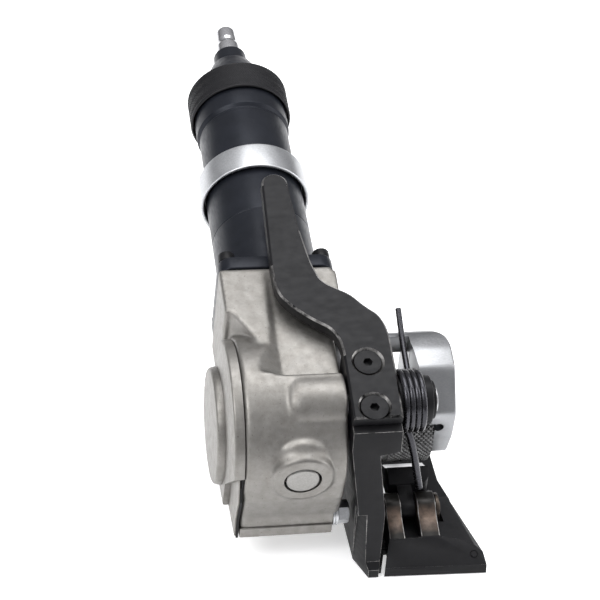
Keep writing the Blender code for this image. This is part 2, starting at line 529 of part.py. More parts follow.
# ---- aluminium bracket that carries the outer end of the feed shaft ------------------------------------------
def bearing_bracket():
    cheek = [(-19, 46), (-21, 60), (-18.4, 69), (-14.6, 76), (-8, 80.6), (2, 83.8), (9, 84.4), (15, 83.8),
             (20, 81), (23, 76), (24, 56), (15, 34), (0, 29.5), (-13, 31)]
    bracket = link("bearing_bracket", plate_mesh("bearing_bracket", [cheek], 60.8, 80, YZ_PLANE), BRUSHED, rocker)
    slope = [(55, -30), (66.8, -30), (65.2, -20), (62.6, -10), (60.9, 6), (55, 6)]
    cut(bracket, plate_mesh("slope", [slope], 20, 90, Matrix()), "inner_slope")
    corner = [(82, 6), (80, 12), (78.6, 16.6), (76, 20.2), (71, 25), (71, 30), (82, 30)]
    cut(bracket, plate_mesh("corner", [corner], 20, 90, Matrix()), "rear_corner")
    pad = [(-12, 71.5), (-12, 79.6), (2, 83.0), (8.2, 83.0), (8.2, 71.5)]
    near = [(-11.8, 71.7), (-11.8, 79.4), (2, 82.8), (14, 83.1), (20.1, 79.6), (20.1, 71.7)]
    far = [(12, 74), (12, 84.0), (14.8, 83.6), (19.6, 80.8), (20.6, 74)]
    add(bracket, plate_mesh("near_bridge", [near], NECK_HALF + 0.6, BRACKET_STEP, YZ_PLANE), "near_bridge")
    add(bracket, plate_mesh("pad", [pad], CASE_RIGHT + GAP, NECK_HALF + 1, YZ_PLANE), "casing_pad")
    add(bracket, plate_mesh("far_bridge", [far], BRACKET_STEP - 1, 61.4, YZ_PLANE), "far_bridge")
    cut(bracket, rod_mesh("pocket", FEED_R + 0.8, 60, FEED_RIGHT + 0.7, across(0, SHAFT_Z), SMOOTH), "wheel_pocket")
    cut(bracket, rod_mesh("seat", 11.3, 65, 77.6, across(0, SHAFT_Z), MEDIUM), "bearing_seat")
    for i, (y, z) in enumerate(BRACKET_SCREWS):
        cut(bracket, rod_mesh("hole", 3.3, 20, 40, across(y, z), COARSE), f"screw_hole_{i}")
        cap_screw(f"bracket_screw_{i + 1}", 5.0, 5.2, 3.0, 23.5,
                  across(y, z) @ Matrix.Translation((0, 0, BRACKET_STEP + GAP)), BLACKED, rocker)
    forwards = Matrix.Rotation(-math.pi / 2, 4, "X")
    cut(bracket, rod_mesh("oil_hole", 2.4, -26, -13, Matrix.Translation((72.4, 0, 52.5)) @ forwards, COARSE), "oil_hole")


# ---- base, foot and lever ---------------------------------------------------------------------------------------
def lever_matrix():
    return Matrix.Translation((0, LEVER_FRONT_Y, LEVER_FRONT_Z)) @ Matrix.Rotation(LEVER_TILT, 4, "X")


def base_frame():
    side = [(-64.5, 0), (-64.1, 4.2), (-61.0, 7.0), (-57.2, 45), (-55.0, 80.9), (-15.2, 94.9), (-14.2, 74),
            (-17.0, 60), (-18.5, 30), (-14.0, 24), (15.0, 24), (15.0, 0)]
    frame = link("base_frame", plate_mesh("base_frame", [side], 20, 46, YZ_PLANE), BLACKED, base)
    front = [(ARM_LEFT, 110), (ARM_LEFT, 71), (27.6, 36), (29.1, -1), (42.0, -1), (40.2, 36), (35.6, 67.5),
             (ARM_RIGHT, 69.5), (ARM_RIGHT, 110)]
    boolean(frame, plate_mesh("front_view", [front], -80, 30, XZ_PLANE), "INTERSECT", "front_view")
    nose = plate_mesh("nose", [[(20, -51), (29.0, -51), (34.2, -64.6), (34.2, -80), (20, -80)]], -5, 34, Matrix())
    cut(frame, nose, "nose_taper")
    inner = plate_mesh("nose", [[(42.4, -49.5), (38.7, -66), (38.7, -70), (48, -70), (48, -49.5)]], -5, 34, Matrix())
    cut(frame, inner, "inner_nose_taper")
    add(frame, box_mesh("ledge", (32, -50, 0), (60, -18, 4)), "foot_ledge")
    web = [(34, -62), (40.8, -62), (43.6, -52.5), (43.6, -46), (34, -46)]
    add(frame, plate_mesh("web", [web], 0, 3.4, Matrix()), "toe_web")
    floor = [(29.1, -19), (83.6, -19), (80.6, -4), (81, 15), (29.1, 15)]
    window = [(49, -14), (68, -14), (68, 8), (49, 8)]
    add(frame, plate_mesh("floor", [floor, window], 0, 5, Matrix()), "floor")
    cut(frame, rod_mesh("hole", PIVOT_R + GAP, 15, 50, across(PIVOT_Y, PIVOT_Z), MEDIUM), "pivot_hole")
    for i, (x, along_lever) in enumerate(SCREW_SPOTS):
        hole = rod_mesh("hole", 3.3, -LEVER_THICK - 13, 5, lever_matrix() @ Matrix.Translation((x, along_lever, 0)),
                        COARSE)
        cut(frame, hole, f"lever_screw_hole_{i}")
    for i, (x, y) in enumerate(FOOT_SCREWS):
        cut(frame, rod_mesh("hole", 3.9, -1, 5, Matrix.Translation((x, y, 0)), COARSE), f"foot_screw_hole_{i}")


def foot_plate():
    bm = bmesh.new()
    corners = [(41.9, -64.3, 0), (91.2, -66.0, 0), (92.0, -56.0, 0), (83.8, -19.3, 0), (45.7, -19.3, 0),
               (41.9, -64.0, 5.0), (91.0, -65.4, 4.8), (45.7, -53.0, 12.9), (70.0, -52.8, 12.7),
               (87.3, -56.9, 9.6), (90.9, -59.1, 7.8), (83.0, -19.6, 8.2), (45.7, -19.3, 9.0)]
    for corner in corners:
        bm.verts.new(corner)
    bmesh.ops.convex_hull(bm, input=bm.verts)
    foot = link("foot_plate", finished(bm, Matrix(), "foot_plate"), WORN, base)
    side = [(45.7, -51.0), (41.9, -64.4), (39, -64.4), (39, -15), (45.7, -15)]
    cut(foot, plate_mesh("side", [side], -1, 20, Matrix()), "side_cut")
    ear = [(-51, 4.5), (-54.6, 12.6), (-40.0, 18.8), (-36.5, 22.0), (-28.6, 22.0), (-28.6, 6.0)]
    add(foot, plate_mesh("left_ear", [ear], 45.7, 53.3, YZ_PLANE), "left_ear")
    add(foot, plate_mesh("right_ear", [ear], 61.2, 70.3, YZ_PLANE), "right_ear")
    cut(foot, box_mesh("slot", (53.3, -52, 8), (61.2, -10, 40)), "dog_slot")
    cut(foot, box_mesh("recess", (40, -50.3, -1), (60.3, -10, 4.3)), "ledge_recess")
    cut(foot, rod_mesh("hole", DOG_PIN_R + GAP, 40, 75, across(DOG_PIN_Y, DOG_PIN_Z), COARSE), "pin_hole")
    cut(foot, rod_mesh("pocket", 7.6, 70.3, 75, across(DOG_PIN_Y, DOG_PIN_Z), MEDIUM), "ring_pocket")
    for i, (x, y) in enumerate(FOOT_SCREWS):
        cut(foot, rod_mesh("hole", 2.3, 0, 8.0, Matrix.Translation((x, y, 0)), COARSE), f"screw_hole_{i}")
        profile = [(0, 7.4), (2.0, 7.4), (2.0, 3.0), (3.6, 2.6), (3.6, 0.4), (0, 0.4)]
        name = f"foot_screw_{i + 1}"
        link(name, turned_mesh(name, profile, Matrix.Translation((x, y, 0)), COARSE), BLACKED, base)


def lever():
    """Plate on the arm that jogs over the motor axis. Outline in x and distance from its front end."""
    left = [(21.9, 0.3), (22.1, 37.2), (21.2, 43.5), (18.0, 49.4), (9.0, 55.5), (1.5, 62.4), (-3.4, 68.6),
            (-5.2, 74.8), (-5.6, 86.5), (-4.4, 134.5)]
    tip = [(-3.4, 138.4), (-1.2, 141.2), (2.0, 142.2), (5.0, 141.2), (7.4, 138.2)]
    right = [(8.4, 134.0), (10.8, 106.6), (13.7, 87.4), (16.6, 78.2), (19.4, 75.0), (23.6, 72.4), (29.8, 68.8),
             (35.9, 61.6), (41.4, 56.8), (44.0, 51.0), (45.0, 44.0), (45.2, 20.0), (44.7, 0.3)]
    outline = left + tip + right
    plate = link("lever", plate_mesh("lever", [outline], -LEVER_THICK, 0, lever_matrix()), BLACKED, base)
    for i, (x, along_lever) in enumerate(SCREW_SPOTS):
        at = lever_matrix() @ Matrix.Translation((x, along_lever, 0))
        cut(plate, rod_mesh("sink", 3.4, -4.3, 0.5, at, MEDIUM, 8.2), f"countersink_{i}")
        cut(plate, rod_mesh("hole", 3.4, -9, 0, at, COARSE), f"hole_{i}")
        head = [(0, -2.8), (2.3, -2.8), (2.3, -0.5), (6.4, -0.5), (6.4, -1.0), (3.0, -4.3), (3.0, -17.5), (0, -17.5)]
        name = f"lever_screw_{i + 1}"
        link(name, turned_mesh(name, head, at, COARSE), BLACKED, base)


# ---- pivot, spring and gripper -----------------------------------------------------------------------------------
def pivot():
    axis = across(PIVOT_Y, PIVOT_Z)
    pin = [(0, 64.4), (PIVOT_R - 0.6, 64.4), (PIVOT_R, 63.8), (PIVOT_R, 1.0), (0, 1.0)]
    link("pivot_pin", turned_mesh("pivot_pin", pin, axis, MEDIUM), STEEL, base)
    link("spring_sleeve", tube_mesh("spring_sleeve", SLEEVE_R, PIVOT_R + GAP, ARM_RIGHT + GAP, 61.2, axis, MEDIUM),
         BLACKED, base)
    link("pivot_clip", tube_mesh("pivot_clip", 9.0, PIVOT_R + GAP, 61.5, 63.0, axis, MEDIUM), BLACKED, base)


def torsion_spring():
    """Lower leg on the foot's right ear, coil on the sleeve, upper leg over the bracket's bridge."""
    steps = 60
    route = [(63.4, -30.6, 24.6), (60.2, -29.4, 39.5), (56.4, -28.4, 54.5), (51.0, -24.6, 66.0), (47.6, -21.4, 74.0)]
    for i in range(steps + 1):
        angle = COIL_TURN * i / steps
        x = COIL_LEFT + (COIL_RIGHT - COIL_LEFT) * i / steps
        route.append((x, PIVOT_Y + COIL_R * math.cos(angle), PIVOT_Z + COIL_R * math.sin(angle)))
    route += [(57.2, -10.0, 76.0), (57.2, 7.0, 83.3), (57.2, 22.6, 92.5)]
    curve = bpy.data.curves.new("torsion_spring", "CURVE")
    curve.dimensions = "3D"
    curve.bevel_depth = WIRE_R * MM
    curve.bevel_resolution = 1
    curve.use_fill_caps = True
    spline = curve.splines.new("POLY")
    spline.points.add(len(route) - 1)
    for point, at in zip(spline.points, route):
        point.co = (*(Vector(at) * MM), 1)
    blank = bpy.data.objects.new("torsion_spring", curve)
    CUTTERS.objects.link(blank)
    link("torsion_spring", baked(blank, Matrix()), BLACKED, base)


def gripper():
    axis = across(DOG_PIN_Y, DOG_PIN_Z)
    pin = [(0, 73.6), (DOG_PIN_R - 0.5, 73.6), (DOG_PIN_R, 73.1), (DOG_PIN_R, 46.0), (0, 46.0)]
    link("gripper_pin", turned_mesh("gripper_pin", pin, axis, COARSE), STEEL, base)
    link("gripper_ring", tube_mesh("gripper_ring", 7.0, DOG_PIN_R + GAP, 70.6, 72.4, axis, MEDIUM), STEEL, base)
    face = arc((0, SHAFT_Z), FEED_R + 2.7, 222, 250, 5)
    head = [(-25.0, 12.5), (-25.0, 22.5)] + face + [(-8.4, 12.5)]
    dog = link("gripper_dog", plate_mesh("gripper_dog", [head], 50, 70, YZ_PLANE), WORN, dog_body)
    stem = [(-24.0, 13.0), (-24.0, 22.0), (-31.0, 20.4), (-37.6, 18.6), (-39.6, 14.5), (-37.6, 10.6), (-30.0, 9.6),
            (-20.0, 12.8)]
    add(dog, plate_mesh("stem", [stem], 53.7, 60.8, YZ_PLANE), "stem")
    cut(dog, rod_mesh("hole", DOG_PIN_R + GAP, 50, 75, axis, COARSE), "pin_hole")


gear_casing()
side_cover()
motor_flange()
worm_plug()
hex_bolt()
handle()
air_motor()
planetary_stage()
worm_drive()
bearing_bracket()
base_frame()
foot_plate()
lever()
pivot()
torsion_spring()
gripper()
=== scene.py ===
"""Looks of the pneumatic strap tensioner: detailed pieces, materials, light and camera on the fixed frame.

Shapes are drawn in the design frame in millimetres: x from the motor axis, y from the feed shaft,
z from the sole. PLACE takes them to the frame's metres.
"""
import json
import math

import bmesh
import bpy
from mathutils import Matrix, Vector


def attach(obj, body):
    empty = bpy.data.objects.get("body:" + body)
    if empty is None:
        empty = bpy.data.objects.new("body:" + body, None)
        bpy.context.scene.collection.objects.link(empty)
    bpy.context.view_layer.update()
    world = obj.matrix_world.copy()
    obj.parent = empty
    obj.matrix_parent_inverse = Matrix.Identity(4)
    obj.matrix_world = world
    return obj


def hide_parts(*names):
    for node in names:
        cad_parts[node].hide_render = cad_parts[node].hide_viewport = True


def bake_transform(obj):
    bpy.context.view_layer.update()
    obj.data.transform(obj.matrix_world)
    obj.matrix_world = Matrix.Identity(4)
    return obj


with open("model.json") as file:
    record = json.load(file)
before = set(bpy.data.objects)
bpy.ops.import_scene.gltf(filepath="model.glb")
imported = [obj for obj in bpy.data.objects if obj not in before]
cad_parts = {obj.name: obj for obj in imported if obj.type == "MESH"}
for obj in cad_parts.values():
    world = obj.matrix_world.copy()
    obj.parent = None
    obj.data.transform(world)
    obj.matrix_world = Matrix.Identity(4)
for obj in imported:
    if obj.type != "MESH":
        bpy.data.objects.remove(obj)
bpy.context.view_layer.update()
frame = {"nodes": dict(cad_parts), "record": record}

MM = 0.001
DATUM_X = 35.0
PLACE = Matrix.Translation((-DATUM_X * MM, 0, 0)) @ Matrix.Scale(MM, 4)

# ---- sizes shared with the frame, in millimetres -----------------------------------------------------
SHAFT_Z = 44.0
HANDLE_TILT = math.radians(12)
CENTRE_DISTANCE = 26.0
PIVOT_Y, PIVOT_Z = -34.0, 81.5
MOTOR = Matrix.Translation((0, -CENTRE_DISTANCE * math.sin(HANDLE_TILT),
                            SHAFT_Z + CENTRE_DISTANCE * math.cos(HANDLE_TILT))) \
    @ Matrix.Rotation(HANDLE_TILT, 4, "X")
ALONG_MOTOR = MOTOR @ Matrix.Rotation(-math.pi / 2, 4, "X")
CASE_LEFT, CASE_RIGHT, CASE_FLOOR = -26.0, 21.0, 15.5
DRUM_Y, DRUM_Z, DRUM_R = -16.0, 57.0, 41.5
NECK_HALF, NECK_REAR, FLANGE_REAR = 28.5, 52.0, 60.0
STOP_Y, STOP_Z = -42.5, 23.0
FLANGE_SCREWS = ((23.2, 22.4), (-23.2, 22.4), (-23.2, -22.4), (23.2, -22.4))
BRACKET_SCREWS = ((-6.0, 77.0), (6.2, 77.3))
BRACKET_STEP = 36.0
LEVER_TILT = math.atan(0.352)
LEVER = Matrix.Translation((0, -54.2, 88.7)) @ Matrix.Rotation(LEVER_TILT, 4, "X")
LEVER_SCREWS = ((32.7, 30.4), (32.3, 6.2))
LEVER_CLEAR, SQUEEZE = 88.0, math.radians(4.5)
DOG_PIN_Y, DOG_PIN_Z = -34.0, 14.5
FEED_R, FEED_LEFT, FEED_RIGHT = 22.0, 48.5, 70.0
YZ_PLANE = Matrix(((0, 0, 1, 0), (1, 0, 0, 0), (0, 1, 0, 0), (0, 0, 0, 1)))
XZ_PLANE = Matrix(((1, 0, 0, 0), (0, 0, 1, 0), (0, 1, 0, 0), (0, 0, 0, 1)))
FINE, SMALL = 128, 56           # facets round large and small turned pieces
BLACK_SHEEN = 0.16              # reflection of black finishes, against 0.5 for plain plastic


# ---- materials ------------------------------------------------------------------------------------------
def new_material(name, colour, metallic, roughness):
    made = bpy.data.materials.new(name)
    made.use_nodes = True
    shader = made.node_tree.nodes["Principled BSDF"]
    shader.inputs["Base Color"].default_value = (*colour, 1)
    shader.inputs["Metallic"].default_value = metallic
    shader.inputs["Roughness"].default_value = roughness
    return made, made.node_tree, shader


def place_texture(tree, stretch=(1, 1, 1)):
    """Object coordinates in metres, stretched where a finish has a direction."""
    where = tree.nodes.new("ShaderNodeTexCoord")
    mapping = tree.nodes.new("ShaderNodeMapping")
    mapping.inputs["Scale"].default_value = stretch
    tree.links.new(where.outputs["Object"], mapping.inputs["Vector"])
    return mapping.outputs["Vector"]


def noise(tree, vector, size_mm, detail=3.0, rough=0.55):
    """Noise with features of about size_mm."""
    node = tree.nodes.new("ShaderNodeTexNoise")
    node.inputs["Scale"].default_value = 1 / (size_mm * MM)
    node.inputs["Detail"].default_value = detail
    node.inputs["Roughness"].default_value = rough
    tree.links.new(vector, node.inputs["Vector"])
    return node.outputs["Fac"]


def remap(tree, value, low, high, start=0.3, end=0.7):
    node = tree.nodes.new("ShaderNodeMapRange")
    node.inputs["From Min"].default_value = start
    node.inputs["From Max"].default_value = end
    node.inputs["To Min"].default_value = low
    node.inputs["To Max"].default_value = high
    tree.links.new(value, node.inputs["Value"])
    return node.outputs["Result"]


def tint(tree, value, dark, light, start=0.3, end=0.7):
    ramp = tree.nodes.new("ShaderNodeValToRGB")
    ramp.color_ramp.elements[0].position = start
    ramp.color_ramp.elements[1].position = end
    ramp.color_ramp.elements[0].color = (*dark, 1)
    ramp.color_ramp.elements[1].color = (*light, 1)
    tree.links.new(value, ramp.inputs["Fac"])
    return ramp.outputs["Color"]


def bump(tree, shader, height, depth_mm, strength=1.0, after=None):
    node = tree.nodes.new("ShaderNodeBump")
    node.inputs["Distance"].default_value = depth_mm * MM
    node.inputs["Strength"].default_value = strength
    tree.links.new(height, node.inputs["Height"])
    if after is not None:
        tree.links.new(after, node.inputs["Normal"])
    tree.links.new(node.outputs["Normal"], shader.inputs["Normal"])
    return node.outputs["Normal"]


def cast_aluminium():
    """Bead-blasted casting: fine grain and soft mottling."""
    made, tree, shader = new_material("cast_aluminium_look", (0.22, 0.212, 0.20), 0.88, 0.44)
    where = place_texture(tree)
    blotch = noise(tree, where, 5.0, 6.0, 0.7)
    colour = tint(tree, blotch, (0.185, 0.176, 0.163), (0.25, 0.243, 0.23))
    specks = tint(tree, noise(tree, where, 0.9, 2.0), (1, 1, 1), (0.62, 0.60, 0.57), 0.66, 0.74)
    mixed = tree.nodes.new("ShaderNodeMix")
    mixed.data_type = "RGBA"
    mixed.blend_type = "MULTIPLY"
    mixed.inputs["Factor"].default_value = 1.0
    tree.links.new(colour, mixed.inputs[6])
    tree.links.new(specks, mixed.inputs[7])
    tree.links.new(mixed.outputs[2], shader.inputs["Base Color"])
    tree.links.new(remap(tree, noise(tree, where, 4.0, 3.0), 0.40, 0.54), shader.inputs["Roughness"])
    waves = bump(tree, shader, noise(tree, where, 2.4, 2.0), 0.035, 0.6)
    bump(tree, shader, noise(tree, where, 0.5, 3.0, 0.65), 0.06, 1.0, waves)
    return made


def machined(name, colour, roughness, stretch, grain_mm, depth_mm=0.012, metallic=1.0, spread=0.10):
    """Metal with tool marks: noise drawn out across the cut, in colour, roughness and height."""
    made, tree, shader = new_material(name, colour, metallic, roughness)
    where = place_texture(tree, stretch)
    marks = noise(tree, where, grain_mm, 3.0, 0.6)
    dark = tuple(c * 0.86 for c in colour)
    light = tuple(min(1.0, c * 1.10) for c in colour)
    tree.links.new(tint(tree, marks, dark, light), shader.inputs["Base Color"])
    cloud = noise(tree, place_texture(tree), 12.0, 2.0)
    tree.links.new(remap(tree, cloud, roughness - spread / 2, roughness + spread), shader.inputs["Roughness"])
    bump(tree, shader, marks, depth_mm, 0.8)
    return made


def black_finish(name, colour, metallic, roughness, grain_mm=0.5, depth_mm=0.02, dust=0.0):
    """Black oxide or anodising: fine grain, faint handling marks, a breath of grey dust."""
    made, tree, shader = new_material(name, colour, metallic, roughness)
    shader.inputs["Specular IOR Level"].default_value = BLACK_SHEEN
    where = place_texture(tree)
    cloud = noise(tree, where, 16.0, 4.0, 0.6)
    light = tuple(c * 1.35 + dust for c in colour)
    tree.links.new(tint(tree, cloud, colour, light, 0.35, 0.75), shader.inputs["Base Color"])
    rub = noise(tree, place_texture(tree, (1, 1, 4)), 5.0, 4.0)
    tree.links.new(remap(tree, rub, roughness - 0.05, roughness + 0.10), shader.inputs["Roughness"])
    bump(tree, shader, noise(tree, where, grain_mm, 2.0), depth_mm, 0.7)
    return made


def worn_steel(name, dark, light, roughness):
    """Hardened steel, heat-brown with bright scuffs where the strap runs."""
    made, tree, shader = new_material(name, dark, 1.0, roughness)
    where = place_texture(tree)
    scuff = noise(tree, place_texture(tree, (1, 0.25, 1)), 1.4, 5.0, 0.7)
    stain = noise(tree, where, 7.0, 4.0)
    mixed = tree.nodes.new("ShaderNodeMath")
    mixed.operation = "MULTIPLY_ADD"
    mixed.inputs[1].default_value = 0.5
    tree.links.new(scuff, mixed.inputs[0])
    half = tree.nodes.new("ShaderNodeMath")
    half.operation = "MULTIPLY"
    half.inputs[1].default_value = 0.5
    tree.links.new(stain, half.inputs[0])
    tree.links.new(half.outputs[0], mixed.inputs[2])
    tree.links.new(tint(tree, mixed.outputs[0], dark, light, 0.38, 0.66), shader.inputs["Base Color"])
    tree.links.new(remap(tree, stain, roughness - 0.08, roughness + 0.14), shader.inputs["Roughness"])
    bump(tree, shader, scuff, 0.03, 0.6)
    return made


def ear_steel_with_painted_highlight():
    """Black steel with a painted highlight: a lighter brown band at half height of the ears, broken up by noise."""
    made, tree, shader = new_material("ear_steel_look", (0.012, 0.011, 0.010), 0.6, 0.36)
    where = place_texture(tree)
    # painted highlight: the colour turns lighter brown in a band of height at the ears' middle
    height = tree.nodes.new("ShaderNodeSeparateXYZ")
    tree.links.new(where, height.inputs["Vector"])
    rise = remap(tree, height.outputs["Z"], 0, 1, 13.5 * MM, 16.5 * MM)
    fall = remap(tree, height.outputs["Z"], 1, 0, 18.0 * MM, 21.5 * MM)
    band = tree.nodes.new("ShaderNodeMath")
    band.operation = "MULTIPLY"
    tree.links.new(rise, band.inputs[0])
    tree.links.new(fall, band.inputs[1])
    painted_highlight = tree.nodes.new("ShaderNodeMath")
    painted_highlight.operation = "MULTIPLY"
    tree.links.new(band.outputs[0], painted_highlight.inputs[0])
    tree.links.new(remap(tree, noise(tree, where, 3.0, 4.0), 0.35, 1.0), painted_highlight.inputs[1])
    tree.links.new(tint(tree, painted_highlight.outputs[0], (0.012, 0.011, 0.010), (0.16, 0.115, 0.09), 0.05, 0.95),
                   shader.inputs["Base Color"])
    bump(tree, shader, noise(tree, where, 0.8, 3.0), 0.03, 0.7)
    return made


def plain_soft(name, colour, roughness, grain_mm):
    made, tree, shader = new_material(name, colour, 0.0, roughness)
    shader.inputs["Specular IOR Level"].default_value = BLACK_SHEEN
    where = place_texture(tree)
    grain = noise(tree, where, grain_mm, 3.0)
    tree.links.new(tint(tree, grain, tuple(c * 0.8 for c in colour), tuple(c * 1.3 for c in colour)),
                   shader.inputs["Base Color"])
    bump(tree, shader, grain, 0.05, 0.6)
    return made


CAST = cast_aluminium()
BRUSHED = machined("brushed_aluminium_look", (0.31, 0.315, 0.325), 0.34, (1, 1, 14), 1.2, 0.010)
ZINC = machined("zinc_plate_look", (0.52, 0.53, 0.545), 0.36, (1, 1, 1), 0.8, 0.006, spread=0.08)
PLUG = machined("plug_steel_look", (0.25, 0.245, 0.235), 0.30, (1, 1, 1), 0.8, 0.010, spread=0.08)
CHROME = machined("bright_steel_look", (0.55, 0.55, 0.565), 0.13, (1, 1, 1), 0.9, 0.002, spread=0.04)
STEEL = machined("machined_steel_look", (0.45, 0.45, 0.46), 0.32, (6, 1, 1), 0.6, 0.010)
WORN = worn_steel("worn_steel_look", (0.012, 0.011, 0.010), (0.11, 0.090, 0.075), 0.36)
TEETH = worn_steel("tooth_steel_look", (0.04, 0.04, 0.04), (0.26, 0.26, 0.26), 0.30)
ANODISED = black_finish("black_anodised_look", (0.012, 0.0135, 0.018), 0.35, 0.34, 0.35, 0.008)
BLACKED = black_finish("black_oxide_look", (0.0075, 0.0075, 0.0085), 0.15, 0.40, 0.6, 0.025, 0.001)
KNURLED = black_finish("knurled_black_look", (0.013, 0.013, 0.0145), 0.3, 0.40, 0.4, 0.010)
WIRE = black_finish("spring_black_look", (0.045, 0.045, 0.05), 0.9, 0.24, 0.5, 0.002)
EDGE = worn_steel("rubbed_edge_look", (0.02, 0.02, 0.021), (0.42, 0.41, 0.40), 0.32)
EAR = ear_steel_with_painted_highlight()
RUBBER = plain_soft("gasket_look", (0.014, 0.014, 0.014), 0.65, 0.5)
VANE = plain_soft("vane_look", (0.20, 0.12, 0.07), 0.55, 0.8)
SLOTS = {"cast_aluminium": CAST, "brushed_aluminium": BRUSHED, "zinc_plate": ZINC, "bright_steel": CHROME,
         "machined_steel": STEEL, "worn_steel": WORN, "black_anodised": ANODISED, "black_oxide": BLACKED,
         "gasket_rubber": RUBBER, "vane_composite": VANE}


# ---- mesh tools --------------------------------------------------------------------------------------------
def arc(centre, radius, start, end, steps):
    angles = [math.radians(start + (end - start) * i / steps) for i in range(steps + 1)]
    return [(centre[0] + radius * math.cos(a), centre[1] + radius * math.sin(a)) for a in angles]


def circle(radius, sides, centre=(0, 0)):
    return arc(centre, radius, 0, 360 * (sides - 1) / sides, sides - 1)


def rounded(points, radius, steps=4, closed=True):
    """The outline with each corner replaced by an arc-like curve that starts radius away from it."""
    result = []
    count = len(points)
    for i, corner in enumerate(points):
        if not closed and i in (0, count - 1):
            result.append(corner)
            continue
        here = Vector(corner)
        before, after = Vector(points[i - 1]), Vector(points[(i + 1) % count])
        reach = min(radius, (before - here).length * 0.45, (after - here).length * 0.45)
        if (here - before).angle(after - here, 0) < 0.1 or reach < 1e-4:
            result.append(corner)
            continue
        first = here + (before - here).normalized() * reach
        last = here + (after - here).normalized() * reach
        for k in range(steps + 1):
            t = k / steps
            spot = first * (1 - t) ** 2 + here * (2 * t * (1 - t)) + last * t ** 2
            result.append((spot.x, spot.y))
    return result


def to_object(bm, name, matrix=Matrix.Identity(4)):
    bmesh.ops.transform(bm, matrix=PLACE @ matrix, verts=bm.verts)
    bmesh.ops.recalc_face_normals(bm, faces=bm.faces)
    mesh = bpy.data.meshes.new(name)
    bm.to_mesh(mesh)
    bm.free()
    mesh.shade_smooth()
    mesh.set_sharp_from_angle(angle=math.radians(32))
    obj = bpy.data.objects.new(name, mesh)
    bpy.context.scene.collection.objects.link(obj)
    return obj


def lathe(profile, sides=FINE, closed=True):
    """Turn a profile of (radius, height) about Z. Points on the axis become one vertex each."""
    bm = bmesh.new()
    rings = []
    for radius, height in profile:
        if radius < 1e-6:
            rings.append([bm.verts.new((0, 0, height))])
            continue
        rings.append([bm.verts.new((radius * math.cos(2 * math.pi * i / sides),
                                    radius * math.sin(2 * math.pi * i / sides), height)) for i in range(sides)])
    pairs = list(zip(rings, rings[1:]))
    if closed:
        pairs.append((rings[-1], rings[0]))
    for upper, lower in pairs:
        if len(upper) == 1 and len(lower) == 1:
            continue
        for i in range(sides):
            corners = [upper[i % len(upper)], upper[(i + 1) % len(upper)],
                       lower[(i + 1) % len(lower)], lower[i % len(lower)]]
            bm.faces.new(list(dict.fromkeys(corners)))
    return bm


def slab(outline, low, high):
    """A flat outline extruded from low to high along Z."""
    bm = bmesh.new()
    face = bm.faces.new([bm.verts.new((u, v, low)) for u, v in outline])
    grown = bmesh.ops.extrude_face_region(bm, geom=[face])
    top = [item for item in grown["geom"] if isinstance(item, bmesh.types.BMVert)]
    bmesh.ops.translate(bm, vec=(0, 0, high - low), verts=top)
    return bm


def rim_bevel(bm, width, steps=2, heights=None):
    """Bevel the edges round the flat ends of a slab, or only of the ends at the given heights."""
    edges = []
    for edge in bm.edges:
        a, b = (vert.co.z for vert in edge.verts)
        flat = abs(a - b) < 1e-6
        if flat and (heights is None or any(abs(a - h) < 1e-6 for h in heights)):
            edges.append(edge)
    bmesh.ops.bevel(bm, geom=edges, offset=width, segments=steps, affect="EDGES", profile=0.5)
    return bm


def block(low, high, width=0.0, steps=3):
    bm = bmesh.new()
    low, high = Vector(low), Vector(high)
    bmesh.ops.create_cube(bm, size=1, matrix=Matrix.Translation((low + high) / 2)
                          @ Matrix.Diagonal((*(high - low), 1)))
    if width:
        bmesh.ops.bevel(bm, geom=bm.edges[:], offset=width, segments=steps, affect="EDGES", profile=0.5)
    return bm


def rod(radius, start, end, sides=SMALL, end_radius=None, edge=0.0):
    far = radius if end_radius is None else end_radius
    profile = [(0, end), (far, end), (radius, start), (0, start)]
    if edge:
        profile = rounded(profile, edge, 3, closed=False)
    return lathe(profile, sides, closed=False)


def across(y, z):
    return Matrix.Translation((0, y, z)) @ Matrix.Rotation(math.pi / 2, 4, "Y")


TOOLS = bpy.data.collections.new("tools")


def combine(obj, bm, matrix, operation):
    """Boolean with a hidden tool, applied at once so that the tool can go."""
    tool = to_object(bm, "tool", matrix)
    modifier = obj.modifiers.new("boolean", "BOOLEAN")
    modifier.operation = operation
    modifier.solver = "EXACT"
    modifier.object = tool
    apply_modifiers(obj)
    bpy.data.objects.remove(tool, do_unlink=True)
    return obj


def apply_modifiers(obj):
    bpy.context.view_layer.update()
    ready = obj.evaluated_get(bpy.context.evaluated_depsgraph_get())
    mesh = bpy.data.meshes.new_from_object(ready)
    obj.modifiers.clear()
    obj.data = mesh


def cut(obj, bm, matrix=Matrix.Identity(4)):
    return combine(obj, bm, matrix, "DIFFERENCE")


def fuse(obj, bm, matrix=Matrix.Identity(4)):
    return combine(obj, bm, matrix, "UNION")


def sharpen(obj, angle=32):
    obj.data.shade_smooth()
    obj.data.set_sharp_from_angle(angle=math.radians(angle))


def edge_bevel(obj, width, steps=3, angle=28, rubbed=False):
    if rubbed:
        obj.data.materials.append(BLACKED)
        obj.data.materials.append(EDGE)
    bevel = obj.modifiers.new("edges", "BEVEL")
    bevel.material = 1 if rubbed else -1
    bevel.width = width * MM
    bevel.segments = steps
    bevel.limit_method = "ANGLE"
    bevel.angle_limit = math.radians(angle)
    bevel.harden_normals = False
    apply_modifiers(obj)
    sharpen(obj)


def finish_piece(obj, name, skin, body, slot, *nodes):
    """Name, material and body of a piece that stands for the given CAD nodes; the slot argument is not used."""
    obj.name = name
    obj.data.name = name
    if not obj.data.materials:
        obj.data.materials.append(skin)
    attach(obj, body)
    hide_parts(*nodes)
    return obj


def turned(node, profile, matrix, skin, body, slot, sides=FINE, corner=0.5, closed=True, steps=3):
    bm = lathe(rounded(profile, corner, steps, closed), sides, closed)
    return finish_piece(to_object(bm, node, matrix), f"{node}_look", skin, body, slot, node)


